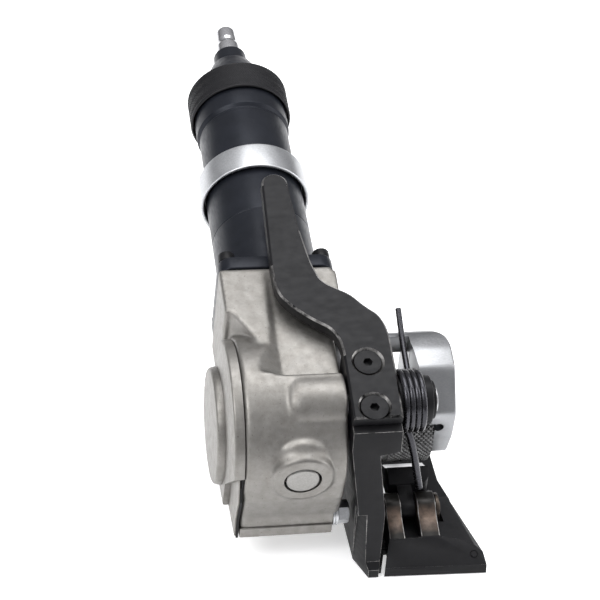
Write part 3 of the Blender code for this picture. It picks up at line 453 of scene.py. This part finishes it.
# ---- handle ------------------------------------------------------------------------------------------------
def handle_tubes():
    front = [(25.0, 132.7), (25.0, 96.4), (24.8, 96.1), (25.0, 95.8), (25.0, 61.3), (24.0, 60.3), (22.6, 60.3),
             (22.6, 132.7)]
    turned("front_tube", front, ALONG_MOTOR, ANODISED, "rocker", "black_anodised", corner=0.35)
    rear = [(24.8, 196.0), (24.8, 175.3), (23.7, 173.9), (23.3, 173.4), (23.3, 172.6), (23.7, 172.2), (23.7, 133.0),
            (22.3, 133.0), (22.3, 124.0), (19.5, 124.0), (19.5, 196.0)]
    turned("rear_tube", rear, ALONG_MOTOR, ANODISED, "rocker", "black_anodised", corner=0.2)


def start_ring():
    front, rear, radius = 123.0, 139.7, 28.2
    outline = [(24.1, rear), (25.6, rear), (radius, rear - 0.2), (radius, front), (radius - 1.6, front),
               (radius - 2.3, front + 1.3), (25.4, front + 3.4), (25.4, rear - 1.5), (24.1, rear - 1.5)]
    turned("start_ring_sleeve", outline, ALONG_MOTOR, ZINC, "start_ring", "zinc_plate", corner=1.4, steps=6)


def regulator_ring():
    """Ring with a raised diamond knurl: crossing helical grooves pressed into a fine grid."""
    front, rear, radius = 186.0, 205.8, 27.1
    around, pitch, depth = 140, 1.21, 0.34
    columns, rows = around * 5, 74
    band_low, band_high = front + 1.0, rear - 1.6
    bm = bmesh.new()
    grid = []
    for row in range(rows + 1):
        s = band_low + (band_high - band_low) * row / rows
        ring = []
        for column in range(columns):
            turn = column / columns
            left = abs(((turn * around + (s - band_low) / pitch) % 1.0) - 0.5) * 2
            right = abs(((turn * around - (s - band_low) / pitch) % 1.0) - 0.5) * 2
            fade = min(1.0, row / 3, (rows - row) / 3)
            r = radius - depth * fade * (1 - min(left, right) * 1.6 if min(left, right) < 0.625 else 0.0)
            angle = 2 * math.pi * turn
            ring.append(bm.verts.new((r * math.cos(angle), r * math.sin(angle), s)))
        grid.append(ring)
    inner = [(radius - 0.45, front + 0.3), (radius - 0.8, front), (26.1, front), (26.0, front + 4.0),
             (25.2, front + 4.0), (25.2, rear - 1.0), (23.0, rear - 0.2), (23.2, rear), (25.0, rear),
             (radius - 0.5, rear - 1.3)]
    rings = [[bm.verts.new((r * math.cos(2 * math.pi * i / columns), r * math.sin(2 * math.pi * i / columns), s))
              for i in range(columns)] for r, s in inner]
    loop = grid[::-1] + rings
    for upper, lower in zip(loop, loop[1:] + loop[:1]):
        for i in range(columns):
            k = (i + 1) % columns
            bm.faces.new((upper[i], upper[k], lower[k], lower[i]))
    obj = to_object(bm, "regulator_ring", ALONG_MOTOR)
    sharpen(obj, 60)
    finish_piece(obj, "regulator_ring_look", KNURLED, "regulator", "black_oxide", "regulator_ring")


def air_inlet():
    cap = [(9.0, 240.0), (9.0, 230.8), (11.4, 229.4), (20.6, 208.6), (22.2, 204.4), (24.6, 203.6), (24.6, 196.3),
           (18.0, 196.3), (18.0, 203.0), (3.4, 207.0), (3.4, 227.0), (4.8, 227.0), (4.8, 240.0)]
    turned("inlet_cap", cap, ALONG_MOTOR, ANODISED, "rocker", "black_oxide", corner=0.7)
    nipple = [(4.3, 263.0), (5.4, 260.9), (5.5, 253.6), (4.9, 252.4), (4.9, 251.2), (6.4, 248.8), (6.4, 241.2),
              (5.8, 240.3), (4.4, 240.3), (4.4, 228.0), (2.6, 228.0), (2.6, 263.0)]
    turned("air_nipple", nipple, ALONG_MOTOR, CHROME, "rocker", "bright_steel", sides=72, corner=0.5)


def motor_flange():
    corners = [(1, 1, 0), (-1, 1, 90), (-1, -1, 180), (1, -1, 270)]
    outline = []
    for su, sv, start in corners:
        outline += arc((su * (NECK_HALF - 0.4 - 7), sv * 21), 7, start, start + 90, 8)
    obj = to_object(rim_bevel(slab(outline, NECK_REAR + 0.3, FLANGE_REAR), 0.7, 3), "motor_flange", ALONG_MOTOR)
    cut(obj, rod(9.5, 40, 70), ALONG_MOTOR)
    for x, z in FLANGE_SCREWS:
        cut(obj, rod(2.8, 40, 70), ALONG_MOTOR @ Matrix.Translation((x, -z, 0)))
    sharpen(obj)
    finish_piece(obj, "motor_flange_look", ANODISED, "rocker", "black_anodised", "motor_flange")
    for i, (x, z) in enumerate(FLANGE_SCREWS):
        at = ALONG_MOTOR @ Matrix.Translation((x, -z, FLANGE_REAR + 0.3))
        socket_screw(f"flange_screw_{i + 1}", 4.2, 5.0, 2.5, 20.0, 2.3, at)


def hexagon(across_flats, turn=0.0):
    return arc((0, 0), across_flats / math.sqrt(3), turn, turn + 300, 5)


def socket_screw(node, head_r, head_high, shank_r, shank_long, key, matrix, body="rocker"):
    profile = [(0, head_high), (head_r, head_high), (head_r, 0), (shank_r, 0), (shank_r, -shank_long), (0, -shank_long)]
    bm = lathe(rounded(profile, 0.5, 3, closed=False), SMALL, closed=False)
    obj = to_object(bm, node, matrix)
    cut(obj, slab(hexagon(key * 1.7), head_high * 0.4, head_high + 1), matrix)
    sharpen(obj)
    finish_piece(obj, f"{node}_look", BLACKED, body, "black_oxide", node)


# ---- gear casing ----------------------------------------------------------------------------------------------
def motor_point(s, z):
    at = MOTOR @ Vector((0, s, z))
    return at.y, at.z


def drum_outline(inset=0.0, last_angle=6.0, steps=40):
    lip = [(-47.6 + inset, CASE_FLOOR + inset), (-48.5 + inset, 27.5), (-54.8 + inset, 43.0)]
    return lip + arc((DRUM_Y, DRUM_Z), DRUM_R - inset, 180, last_angle, steps)


def gear_casing():
    """Casting fused from its main forms, melted together by a fine remesh, then machined."""
    outline = drum_outline() + [(25.5, 40.0), (21.0, CASE_FLOOR)]
    casing = to_object(rim_bevel(slab(outline, CASE_LEFT, CASE_RIGHT), 2.0, 3), "gear_casing", YZ_PLANE)
    shoulder = [(-NECK_HALF, 24.4), (CASE_LEFT + 0.2, 24.4), (-7.4, -8), (CASE_RIGHT - 0.5, -8),
                (CASE_RIGHT - 0.5, 17.5), (NECK_HALF - 0.5, 17.5), (NECK_HALF - 0.5, NECK_REAR - 3),
                (NECK_HALF - 3.5, NECK_REAR), (-NECK_HALF - 0.2, NECK_REAR)]
    fuse(casing, slab(shoulder, -28, 28), MOTOR)
    boss_outline = [(0, -55.2), (13.5, -55.2), (14.7, -54.0), (15.0, -51.2), (16.0, -49.2), (17.6, -47.4), (17.6, 0),
                    (0, 0)]
    fuse(casing, lathe(boss_outline, SMALL, closed=False), ALONG_MOTOR)
    boss = [(0, CASE_RIGHT - 0.2), (14.3, CASE_RIGHT - 0.2), (14.3, -1.0), (13.0, -4.6), (9.6, -7.4), (0, -8.6)]
    fuse(casing, lathe(boss, SMALL, closed=False), across(PIVOT_Y, PIVOT_Z))
    slope = math.tan(LEVER_TILT - SQUEEZE)
    relief = [(-30.5, 99), (-26, LEVER_CLEAR + 8 * slope), (60, LEVER_CLEAR + 94 * slope), (60, 130), (-30.5, 130)]
    for rise in range(8):
        higher = [(y, z + rise * 0.9) for y, z in relief]
        cut(casing, slab(higher, -7 - 1.5 * rise, 30), YZ_PLANE)
    cut(casing, rod(22.8, CASE_LEFT - 1, 8), across(0, SHAFT_Z))
    cut(casing, rod(11.4, -34, NECK_REAR + 1), ALONG_MOTOR)
    remesh = casing.modifiers.new("melt", "REMESH")
    remesh.mode = "VOXEL"
    remesh.voxel_size = 0.7 * MM
    smooth = casing.modifiers.new("soften", "SMOOTH")
    smooth.factor = 0.5
    smooth.iterations = 22
    apply_modifiers(casing)
    cut(casing, rod(13.2, -62, -54.9), ALONG_MOTOR)
    lip = rounded([(-48.9, CASE_FLOOR + 0.1), (-48.9, 21.2), (-40, 21.2), (-40, CASE_FLOOR + 0.1)], 0.7, 3)
    fuse(casing, rim_bevel(slab(lip, CASE_LEFT + 0.2, CASE_RIGHT - 3), 0.5, 2), YZ_PLANE)
    cut(casing, rod(8.7, -60, -33), ALONG_MOTOR)
    cut(casing, rod(12.3, 7, 17.5), across(0, SHAFT_Z))
    cut(casing, rod(7.0, 17, 23), across(0, SHAFT_Z))
    cut(casing, rod(6.3, 0, 23), across(PIVOT_Y, PIVOT_Z))
    cut(casing, rod(8.2, 18.2, 30), across(STOP_Y, STOP_Z))
    cut(casing, rod(3.3, 6, 19), across(STOP_Y, STOP_Z))
    sharpen(casing, 40)
    finish_piece(casing, "gear_casing_look", CAST, "rocker", "cast_aluminium", "gear_casing")


def side_cover():
    outline = drum_outline(1.2, 42) + [motor_point(23, -26), (25.0, 32), (20, CASE_FLOOR + 1.2)]
    cover = to_object(rim_bevel(slab(outline, -31, -26.25), 1.1, 3, (-31,)), "side_cover", YZ_PLANE)
    inner = drum_outline(2.6, 40) + [motor_point(21.6, -24.6), (23.6, 32), (19, CASE_FLOOR + 2.6)]
    cut(cover, slab(inner, -27.2, -26), YZ_PLANE)
    cut(cover, slab([(-60, 62), (-54, 56), (-30, 33), (-25.5, 12), (-60, 12)], -33, -26), YZ_PLANE)
    thin = [(-48.0, 16.6), (-48.3, 27.6), (-54.1, 43), (-52, 55), (-28, 36), (-24, 16.6)]
    fuse(cover, slab(thin, -28.2, -27.6), YZ_PLANE)
    disc = rounded([(0, 3.6), (27.6, 3.6), (28.4, 0.8), (28.4, -2), (0, -2)], 1.2, 4, closed=False)
    fuse(cover, lathe(disc, FINE, closed=False),
         Matrix.Translation((-31.2, 0, SHAFT_Z)) @ Matrix.Rotation(-math.pi / 2, 4, "Y"))
    cut(cover, rod(9.3, -32.2, -26), across(0, SHAFT_Z))
    sharpen(cover)
    finish_piece(cover, "side_cover_look", CAST, "rocker", "cast_aluminium", "side_cover")
    gasket = to_object(slab(inner, -26.9, -26.3), "cover_gasket", YZ_PLANE)
    proud = [(-48.6, 15.7), (-49.0, 27.5), (-55.0, 43), (-53, 50), (-40, 34), (-30, 15.7)]
    fuse(gasket, slab(proud, -27.5, -26.35), YZ_PLANE)
    cut(gasket, rod(23.2, -30, -20), across(0, SHAFT_Z))
    sharpen(gasket)
    finish_piece(gasket, "cover_gasket_look", RUBBER, "rocker", "gasket_rubber", "cover_gasket")


def casing_fasteners():
    plug = [(0, 8), (8.0, 8), (8.0, 1.2), (7.3, 0.2), (6.2, 0.0), (0, 0)]
    turned("worm_plug", plug, ALONG_MOTOR @ Matrix.Translation((0, 0, -55.3)), PLUG, "rocker", "zinc_plate",
           SMALL, 0.3, closed=False)
    at = across(STOP_Y, STOP_Z)
    bolt = to_object(slab(hexagon(9.96, 30), 21.4, 26.4), "stop_bolt", at)
    dome = [(0, 27.0), (4.7, 26.5), (6.6, 25.2), (6.6, 20.0), (0, 20.0)]
    combine(bolt, lathe(dome, SMALL, closed=False), at, "INTERSECT")
    fuse(bolt, rod(3.0, 7, 21.6), at)
    sharpen(bolt)
    finish_piece(bolt, "stop_bolt_look", ZINC, "rocker", "zinc_plate", "stop_bolt")
    washers = [(6.2, 21.1), (6.2, 19.75), (5.6, 19.65), (6.2, 19.55), (6.2, 18.5), (3.3, 18.5), (3.3, 21.1)]
    turned("stop_washer", washers, at, ZINC, "rocker", "zinc_plate", SMALL, 0.25)


# ---- bracket and feed wheel --------------------------------------------------------------------------------------
def bearing_bracket():
    """Solid end block over the wheel, with a bridge to the casing; the block's inner face is sloped."""
    cheek = [(-19, 46), (-20.8, 60.5), (-8.6, 80.3), (2, 83.8), (9, 84.4), (15, 83.8),
             (20, 81), (23, 76), (24, 56), (15, 34), (0, 29.5), (-13, 31)]
    smooth = rounded(rounded(cheek, 2.4, 3), 0.8, 2)
    bracket = to_object(rim_bevel(slab(smooth, 60.8, 80), 0.9, 3, (80,)), "bearing_bracket", YZ_PLANE)
    slope = [(55, -30), (66.8, -30), (65.2, -20), (62.6, -10), (60.9, 6), (55, 6)]
    cut(bracket, slab(slope, 20, 90))
    corner = [(82, 1)] + rounded([(80.4, 2), (78.2, 11.6), (71, 19.5), (64, 25)], 3, 4, closed=False) + [(82, 30)]
    cut(bracket, slab(corner, 20, 90))
    pad = [(-12, 71.5), (-12, 79.6), (2, 83.0), (8.2, 83.0), (8.2, 71.5)]
    near = [(-11.8, 71.7), (-11.8, 79.4), (2, 82.8), (14, 83.1), (20.1, 79.6), (20.1, 71.7)]
    far = rounded([(12, 74), (12, 84.0), (14.8, 83.6), (19.6, 80.8), (20.6, 74)], 0.8, 3)
    fuse(bracket, rim_bevel(slab(near, NECK_HALF + 0.6, BRACKET_STEP), 0.6, 2), YZ_PLANE)
    fuse(bracket, slab(pad, CASE_RIGHT + 0.3, NECK_HALF + 1), YZ_PLANE)
    fuse(bracket, slab(far, BRACKET_STEP - 1, 61.4), YZ_PLANE)
    cut(bracket, rod(FEED_R + 0.8, 60, FEED_RIGHT + 0.7, FINE), across(0, SHAFT_Z))
    cut(bracket, rod(11.3, 65, 77.6), across(0, SHAFT_Z))
    for y, z in BRACKET_SCREWS:
        cut(bracket, rod(3.3, 20, 40), across(y, z))
    oil = Matrix.Translation((72.4, 0, 52.5)) @ Matrix.Rotation(-math.pi / 2, 4, "X")
    cut(bracket, rod(2.4, -26, -13), oil)
    cut(bracket, rod(2.4, -22, -18.4, SMALL, 1.2), oil)
    sharpen(bracket)
    finish_piece(bracket, "bearing_bracket_look", BRUSHED, "rocker", "brushed_aluminium", "bearing_bracket")
    for i, (y, z) in enumerate(BRACKET_SCREWS):
        at = across(y, z) @ Matrix.Translation((0, 0, BRACKET_STEP + 0.3))
        socket_screw(f"bracket_screw_{i + 1}", 5.0, 5.2, 3.0, 23.5, 2.9, at)


def feed_wheel():
    """Wheel with a coarse diamond knurl, for biting on steel strap."""
    around, pitch, depth = 60, 2.3, 0.8
    columns, rows = around * 6, 56
    bm = bmesh.new()
    loop = []
    for row in range(rows + 1):
        x = FEED_RIGHT + (FEED_LEFT - FEED_RIGHT) * row / rows
        ring = []
        for column in range(columns):
            turn = column / columns
            left = abs(((turn * around + x / pitch) % 1.0) - 0.5) * 2
            right = abs(((turn * around - x / pitch) % 1.0) - 0.5) * 2
            r = FEED_R - depth * (1 - min(left, right) * 1.35 if min(left, right) < 0.74 else 0.0)
            ring.append(bm.verts.new((r * math.cos(2 * math.pi * turn), r * math.sin(2 * math.pi * turn), x)))
        loop.append(ring)
    for r, x in ((20.4, FEED_LEFT), (12.0, FEED_LEFT), (6.0, FEED_LEFT), (6.0, FEED_RIGHT), (20.4, FEED_RIGHT)):
        loop.append([bm.verts.new((r * math.cos(2 * math.pi * i / columns), r * math.sin(2 * math.pi * i / columns), x))
                     for i in range(columns)])
    for upper, lower in zip(loop, loop[1:] + loop[:1]):
        for i in range(columns):
            k = (i + 1) % columns
            bm.faces.new((upper[i], upper[k], lower[k], lower[i]))
    obj = to_object(bm, "feed_wheel", across(0, SHAFT_Z))
    sharpen(obj, 50)
    finish_piece(obj, "feed_wheel_look", TEETH, "feed_drive", "worn_steel", "feed_wheel")


# ---- base, foot, lever -----------------------------------------------------------------------------------------------
def base_frame():
    side = [(-64.5, 0), (-64.1, 4.2), (-61.0, 7.0), (-57.2, 45), (-55.0, 80.9), (-15.2, 94.9), (-14.2, 74),
            (-17.0, 60), (-18.5, 30), (-14.0, 24), (15.0, 24), (15.0, 0)]
    arm = to_object(slab(side, 20, 46), "base_frame", YZ_PLANE)
    front = [(22.3, 110), (22.3, 71), (27.6, 36), (29.1, -1), (42.0, -1), (40.2, 36), (35.6, 67.5), (45, 69.5),
             (45, 110)]
    combine(arm, slab(front, -80, 30), XZ_PLANE, "INTERSECT")
    cut(arm, slab([(20, -51), (29.0, -51), (34.2, -64.6), (34.2, -80), (20, -80)], -5, 34))
    cut(arm, slab([(42.4, -49.5), (38.7, -66), (38.7, -70), (48, -70), (48, -49.5)], -5, 34))
    edge_bevel(arm, 0.6, 3, rubbed=True)
    fuse(arm, block((32, -50, 0), (60, -18, 4), 0.2))
    fuse(arm, slab([(34, -62), (40.8, -62), (43.6, -52.5), (43.6, -46), (34, -46)], 0.02, 3.4))
    floor = to_object(rim_bevel(slab([(29.1, -19), (83.6, -19), (80.6, -4), (81, 15), (29.1, 15)], 0, 5), 0.4, 2),
                      "floor")
    cut(floor, block((49, -14, -4), (68, 8, 9)))
    weld = arm.modifiers.new("floor", "BOOLEAN")
    weld.operation = "UNION"
    weld.object = floor
    apply_modifiers(arm)
    bpy.data.objects.remove(floor, do_unlink=True)
    cut(arm, rod(6.3, 15, 50), across(PIVOT_Y, PIVOT_Z))
    for x, reach in LEVER_SCREWS:
        cut(arm, rod(3.3, -19.4, 5), LEVER @ Matrix.Translation((x, reach, 0)))
    for x, y in ((49.5, -45.0), (49.5, -24.0)):
        cut(arm, rod(3.9, -1, 5), Matrix.Translation((x, y, 0)))
    sharpen(arm)
    finish_piece(arm, "base_frame_look", BLACKED, "base", "black_oxide", "base_frame")


def foot_plate():
    bm = bmesh.new()
    for corner in [(41.9, -64.3, 0), (91.2, -66.0, 0), (92.0, -56.0, 0), (83.8, -19.3, 0), (45.7, -19.3, 0),
                   (41.9, -64.0, 5.0), (91.0, -65.4, 4.8), (45.7, -53.0, 12.9), (70.0, -52.8, 12.7),
                   (80.5, -54.3, 11.3), (86.6, -56.7, 9.6), (90.3, -59.3, 7.4), (81.6, -19.6, 7.6),
                   (45.7, -19.3, 9.0)]:
        bm.verts.new(corner)
    bmesh.ops.convex_hull(bm, input=bm.verts)
    bmesh.ops.dissolve_limit(bm, angle_limit=0.02, verts=bm.verts, edges=bm.edges)
    foot = to_object(bm, "foot_plate")
    cut(foot, slab([(45.7, -51.0), (41.9, -64.4), (39, -64.4), (39, -15), (45.7, -15)], -1, 20))
    ear = rounded([(-51, 4.5), (-55.4, 11.8), (-42.0, 17.4), (-37.5, 22.0), (-28.6, 22.0), (-28.6, 6.0)], 3.4, 6)
    edge_bevel(foot, 0.5, 2, 16, rubbed=True)
    for left, right in ((45.75, 53.3), (61.2, 70.3)):
        fuse(foot, rim_bevel(slab(ear, left, right), 0.45, 2), YZ_PLANE)
    cut(foot, block((53.3, -52, 8), (61.2, -10, 40)))
    cut(foot, block((40, -50.3, -1), (60.3, -10, 4.3)))
    cut(foot, rod(3.8, 40, 75), across(DOG_PIN_Y, DOG_PIN_Z))
    cut(foot, rod(7.6, 70.3, 75), across(DOG_PIN_Y, DOG_PIN_Z))
    for x, y in ((49.5, -45.0), (49.5, -24.0)):
        cut(foot, rod(2.3, 0, 8), Matrix.Translation((x, y, 0)))
    slope = Matrix.Translation((85.6, -60.6, 7.4)) @ Matrix.Rotation(math.atan(0.71), 4, "X")
    ring = [(1.9, 1.5), (1.9, -0.5), (1.5, -0.5), (1.5, 1.5)]
    cut(foot, lathe(ring, 32), slope)
    # the ears get the ear material with its painted highlight band; the slanted ear faces get the rubbed edge
    foot.data.materials.append(EAR)
    ears_low, ears_front = 12.9 * MM, -53.2 * MM
    for face in foot.data.polygons:
        if face.center.z > ears_low and face.center.y > ears_front and face.material_index == 0:
            face.material_index = 1 if 0.25 < abs(face.normal.x) < 0.95 else 2
    sharpen(foot)
    finish_piece(foot, "foot_plate_look", BLACKED, "base", "worn_steel", "foot_plate")


def lever():
    """Plate on the arm that jogs over the motor axis, its upper edges chamfered and rubbed bright."""
    left = [(21.9, 0.3), (22.1, 37.2), (21.2, 43.5), (18.0, 49.4), (9.0, 55.5), (1.5, 62.4), (-3.4, 68.6),
            (-5.2, 74.8), (-5.6, 86.5), (-4.4, 134.5)]
    tip = arc((2.0, 135.2), 6.5, 176, 4, 12)
    right = [(8.4, 134.0), (10.8, 106.6), (13.7, 87.4), (16.6, 78.2), (19.4, 75.0), (23.6, 72.4), (29.8, 68.8),
             (35.9, 61.6), (41.4, 56.8), (44.0, 51.0), (45.0, 44.0), (45.2, 20.0), (44.7, 0.3)]
    outline = rounded(left, 9, 6, closed=False) + tip + rounded(right, 9, 6, closed=False)
    bm = slab(outline, -6.4, 0)
    rim_bevel(bm, 0.9, 1, (0,))
    plate = to_object(bm, "lever", LEVER)
    plate.data.materials.append(BLACKED)
    plate.data.materials.append(EDGE)
    for x, reach in LEVER_SCREWS:
        at = LEVER @ Matrix.Translation((x, reach, 0))
        cut(plate, rod(3.4, -4.3, 0.5, SMALL, 8.2), at)
        cut(plate, rod(3.4, -9, 0), at)
    for face in plate.data.polygons:
        normal = LEVER.to_3x3().inverted() @ face.normal
        face.material_index = 1 if 0.3 < normal.z < 0.9 and face.area < 3e-5 else 0
    sharpen(plate)
    finish_piece(plate, "lever_look", BLACKED, "base", "black_oxide", "lever")
    for i, (x, reach) in enumerate(LEVER_SCREWS):
        at = LEVER @ Matrix.Translation((x, reach, 0))
        head = [(0, -0.5), (6.4, -0.5), (6.4, -1.0), (3.0, -4.3), (3.0, -17.5), (0, -17.5)]
        screw = to_object(lathe(rounded(head, 0.3, 3, closed=False), SMALL, closed=False), "screw", at)
        cut(screw, slab(hexagon(4.0), -3.2, 1), at)
        sharpen(screw)
        node = f"lever_screw_{i + 1}"
        finish_piece(screw, f"{node}_look", BLACKED, "base", "black_oxide", node)


# ---- pivot, spring, gripper ------------------------------------------------------------------------------------------
COIL_R = 13.4


def bend_route(points, steps=6):
    """A smooth curve through the points."""
    spots = [Vector(p) for p in points]
    spots = [spots[0] * 2 - spots[1]] + spots + [spots[-1] * 2 - spots[-2]]
    result = []
    for a, b, c, d in zip(spots, spots[1:], spots[2:], spots[3:]):
        for i in range(steps):
            t = i / steps
            result.append(0.5 * (2 * b + (c - a) * t + (2 * a - 5 * b + 4 * c - d) * t ** 2
                                 + (3 * b - a - 3 * c + d) * t ** 3))
    return [tuple(spot) for spot in result + [spots[-2]]]


def torsion_spring():
    """Coil with two legs. Its upper leg lies on the bracket."""
    steps = 144
    turn = math.radians(3 * 360 + 290)
    lower = bend_route([(63.4, -30.6, 24.6), (60.2, -29.4, 39.5), (56.4, -28.4, 54.5), (51.0, -24.6, 66.0),
                        (47.6, -21.4, 74.0), (47.0, -20.6, 81.5)])
    coil = []
    for i in range(1, steps + 1):
        angle = turn * i / steps
        coil.append((47.0 + 10.0 * i / steps, PIVOT_Y + COIL_R * math.cos(angle), PIVOT_Z + COIL_R * math.sin(angle)))
    upper = bend_route([coil[-1], (57.2, -10.0, 76.0), (57.2, 7.0, 83.3), (57.2, 22.6, 92.5)])[1:]
    curve = bpy.data.curves.new("torsion_spring", "CURVE")
    curve.dimensions = "3D"
    curve.bevel_depth = 1.45 * MM
    curve.bevel_resolution = 5
    curve.use_fill_caps = True
    spline = curve.splines.new("POLY")
    route = lower + coil + upper
    spline.points.add(len(route) - 1)
    for i, (point, at) in enumerate(zip(spline.points, route)):
        point.co = (*(PLACE @ Vector(at)), 1)
        point.radius = 1.25 if i < len(lower) - 8 else 1.0
    obj = bpy.data.objects.new("torsion_spring", curve)
    bpy.context.scene.collection.objects.link(obj)
    bpy.context.view_layer.update()
    mesh = bpy.data.meshes.new_from_object(obj.evaluated_get(bpy.context.evaluated_depsgraph_get()))
    bpy.data.objects.remove(obj, do_unlink=True)
    spring = bpy.data.objects.new("torsion_spring_look", mesh)
    bpy.context.scene.collection.objects.link(spring)
    mesh.shade_smooth()
    mesh.materials.clear()
    mesh.materials.append(WIRE)
    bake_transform(spring)
    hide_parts("torsion_spring")


def pivot():
    axis = across(PIVOT_Y, PIVOT_Z)
    turned("pivot_pin", [(0, 64.4), (6, 64.4), (6, 1.0), (0, 1.0)], axis, STEEL, "base", "machined_steel", SMALL,
           0.6, closed=False)
    turned("spring_sleeve", [(11.5, 61.2), (11.5, 45.3), (6.3, 45.3), (6.3, 61.2)], axis, BLACKED, "base",
           "black_oxide", SMALL, 0.8)
    turned("pivot_clip", [(9.0, 63.0), (9.0, 61.5), (6.3, 61.5), (6.3, 63.0)], axis, BLACKED, "base",
           "black_oxide", SMALL, 0.3)


def gripper():
    axis = across(DOG_PIN_Y, DOG_PIN_Z)
    turned("gripper_pin", [(0, 73.6), (3.5, 73.6), (3.5, 46.0), (0, 46.0)], axis, WORN, "base", "machined_steel",
           SMALL, 0.6, closed=False)
    turned("gripper_ring", [(7.0, 72.4), (7.0, 70.6), (3.8, 70.6), (3.8, 72.4)], axis, WORN, "base",
           "machined_steel", SMALL, 0.4)
    face = arc((0, SHAFT_Z), FEED_R + 2.7, 222, 250, 16)
    head = [(-25.0, 12.5), (-25.0, 22.5)] + face + [(-8.4, 12.5)]
    dog = to_object(slab(head, 50, 70), "gripper_dog", YZ_PLANE)
    plan = [(50, -30), (66, -30)] + arc((66, -21), 4, -90, 0, 8) + [(70, -5), (50, -5)]
    combine(dog, slab(plan, 0, 40), Matrix.Identity(4), "INTERSECT")
    stem = rounded([(-24.0, 13.0), (-24.0, 22.0), (-31.0, 20.4), (-37.6, 18.6), (-39.6, 14.5), (-37.6, 10.6),
                    (-30.0, 9.6), (-20.0, 12.8)], 1.8, 4)
    fuse(dog, slab(stem, 53.7, 60.8), YZ_PLANE)
    cut(dog, rod(3.8, 50, 75), axis)
    edge_bevel(dog, 0.3, 2, 40, rubbed=True)
    dog.data.materials.append(STEEL)
    for polygon in dog.data.polygons:
        if polygon.normal.z > 0.3 and polygon.normal.y > 0.15 and polygon.center.z > 20 * MM:
            polygon.material_index = 2
    finish_piece(dog, "gripper_dog_look", BLACKED, "dog", "worn_steel", "gripper_dog")


def carried_nodes():
    """CAD nodes that keep their own shape get the full material of their slot."""
    slots = {entry["node"]: entry["material_slot"] for entry in frame["record"]["subparts"]}
    for name, obj in frame["nodes"].items():
        skin = SLOTS[slots[name]]
        obj.data.materials.clear()
        obj.data.materials.append(skin)


# ---- stage: floor, light and camera -------------------------------------------------------------------------------------
def stage():
    bm = bmesh.new()
    bmesh.ops.create_grid(bm, x_segments=2, y_segments=2, size=6.0)
    mesh = bpy.data.meshes.new("floor")
    bm.to_mesh(mesh)
    bm.free()
    floor = bpy.data.objects.new("stage_floor", mesh)
    floor.location = (0, 0.3, -0.0006)
    bpy.context.scene.collection.objects.link(floor)
    paper, tree, shader = new_material("stage_paper", (0.93, 0.93, 0.935), 0.0, 0.9)
    grain = noise(tree, place_texture(tree), 2.0)
    tree.links.new(tint(tree, grain, (0.92, 0.92, 0.925), (0.94, 0.94, 0.945)), shader.inputs["Base Color"])
    shader.inputs["Emission Color"].default_value = (1, 1, 1, 1)
    shader.inputs["Emission Strength"].default_value = 0.48
    floor.data.materials.append(paper)


def area_light(name, at, target, width, height, power, colour=(1, 1, 1)):
    lamp = bpy.data.lights.new(name, "AREA")
    lamp.shape = "RECTANGLE"
    lamp.size, lamp.size_y = width, height
    lamp.energy = power
    lamp.color = colour
    obj = bpy.data.objects.new(name, lamp)
    obj.location = at
    obj.rotation_mode = "QUATERNION"
    obj.rotation_quaternion = (Vector(target) - Vector(at)).to_track_quat("-Z", "Y")
    bpy.context.scene.collection.objects.link(obj)


def lights():
    world = bpy.data.worlds.new("studio")
    world.use_nodes = True
    tree = world.node_tree
    background = tree.nodes["Background"]
    where = tree.nodes.new("ShaderNodeTexCoord")
    split = tree.nodes.new("ShaderNodeSeparateXYZ")
    tree.links.new(where.outputs["Generated"], split.inputs["Vector"])
    sky = tint(tree, split.outputs["Z"], (0.32, 0.32, 0.33), (0.95, 0.95, 0.97), 0.05, 0.9)
    tree.links.new(sky, background.inputs["Color"])
    background.inputs["Strength"].default_value = 0.75
    seen = tree.nodes.new("ShaderNodeBackground")
    seen.inputs["Color"].default_value = (1, 1, 1, 1)
    path = tree.nodes.new("ShaderNodeLightPath")
    choose = tree.nodes.new("ShaderNodeMixShader")
    tree.links.new(path.outputs["Is Camera Ray"], choose.inputs["Fac"])
    tree.links.new(background.outputs[0], choose.inputs[1])
    tree.links.new(seen.outputs[0], choose.inputs[2])
    tree.links.new(choose.outputs[0], tree.nodes["World Output"].inputs["Surface"])
    bpy.context.scene.world = world
    middle = (-0.02, 0.05, 0.06)
    area_light("key_left", (-0.75, -0.35, 0.95), middle, 0.6, 0.6, 8)
    area_light("top", (0.05, 0.25, 1.1), middle, 0.9, 0.7, 9.5)
    area_light("right_strip", (0.85, -0.1, 0.45), middle, 0.3, 0.9, 4)


def camera():
    """Above and slightly left of the front, with a long lens, tipped a little to the left."""
    lens = bpy.data.cameras.new("camera")
    lens.lens = 108
    lens.sensor_width = 36
    obj = bpy.data.objects.new("camera", lens)
    eye = Vector((-0.16723, -0.66146, 0.59442))
    aim = Vector((-0.03098, 0.0, 0.11630))
    obj.location = eye
    obj.rotation_mode = "QUATERNION"
    roll = Matrix.Rotation(math.radians(4.62), 3, "Z").to_quaternion()
    obj.rotation_quaternion = (aim - eye).to_track_quat("-Z", "Y") @ roll
    bpy.context.scene.collection.objects.link(obj)
    bpy.context.scene.camera = obj
    bpy.context.scene.view_settings.view_transform = "Standard"


camera()
stage()
lights()
carried_nodes()
handle_tubes()
start_ring()
regulator_ring()
air_inlet()
motor_flange()
gear_casing()
side_cover()
casing_fasteners()
bearing_bracket()
feed_wheel()
base_frame()
foot_plate()
lever()
torsion_spring()
pivot()
gripper()
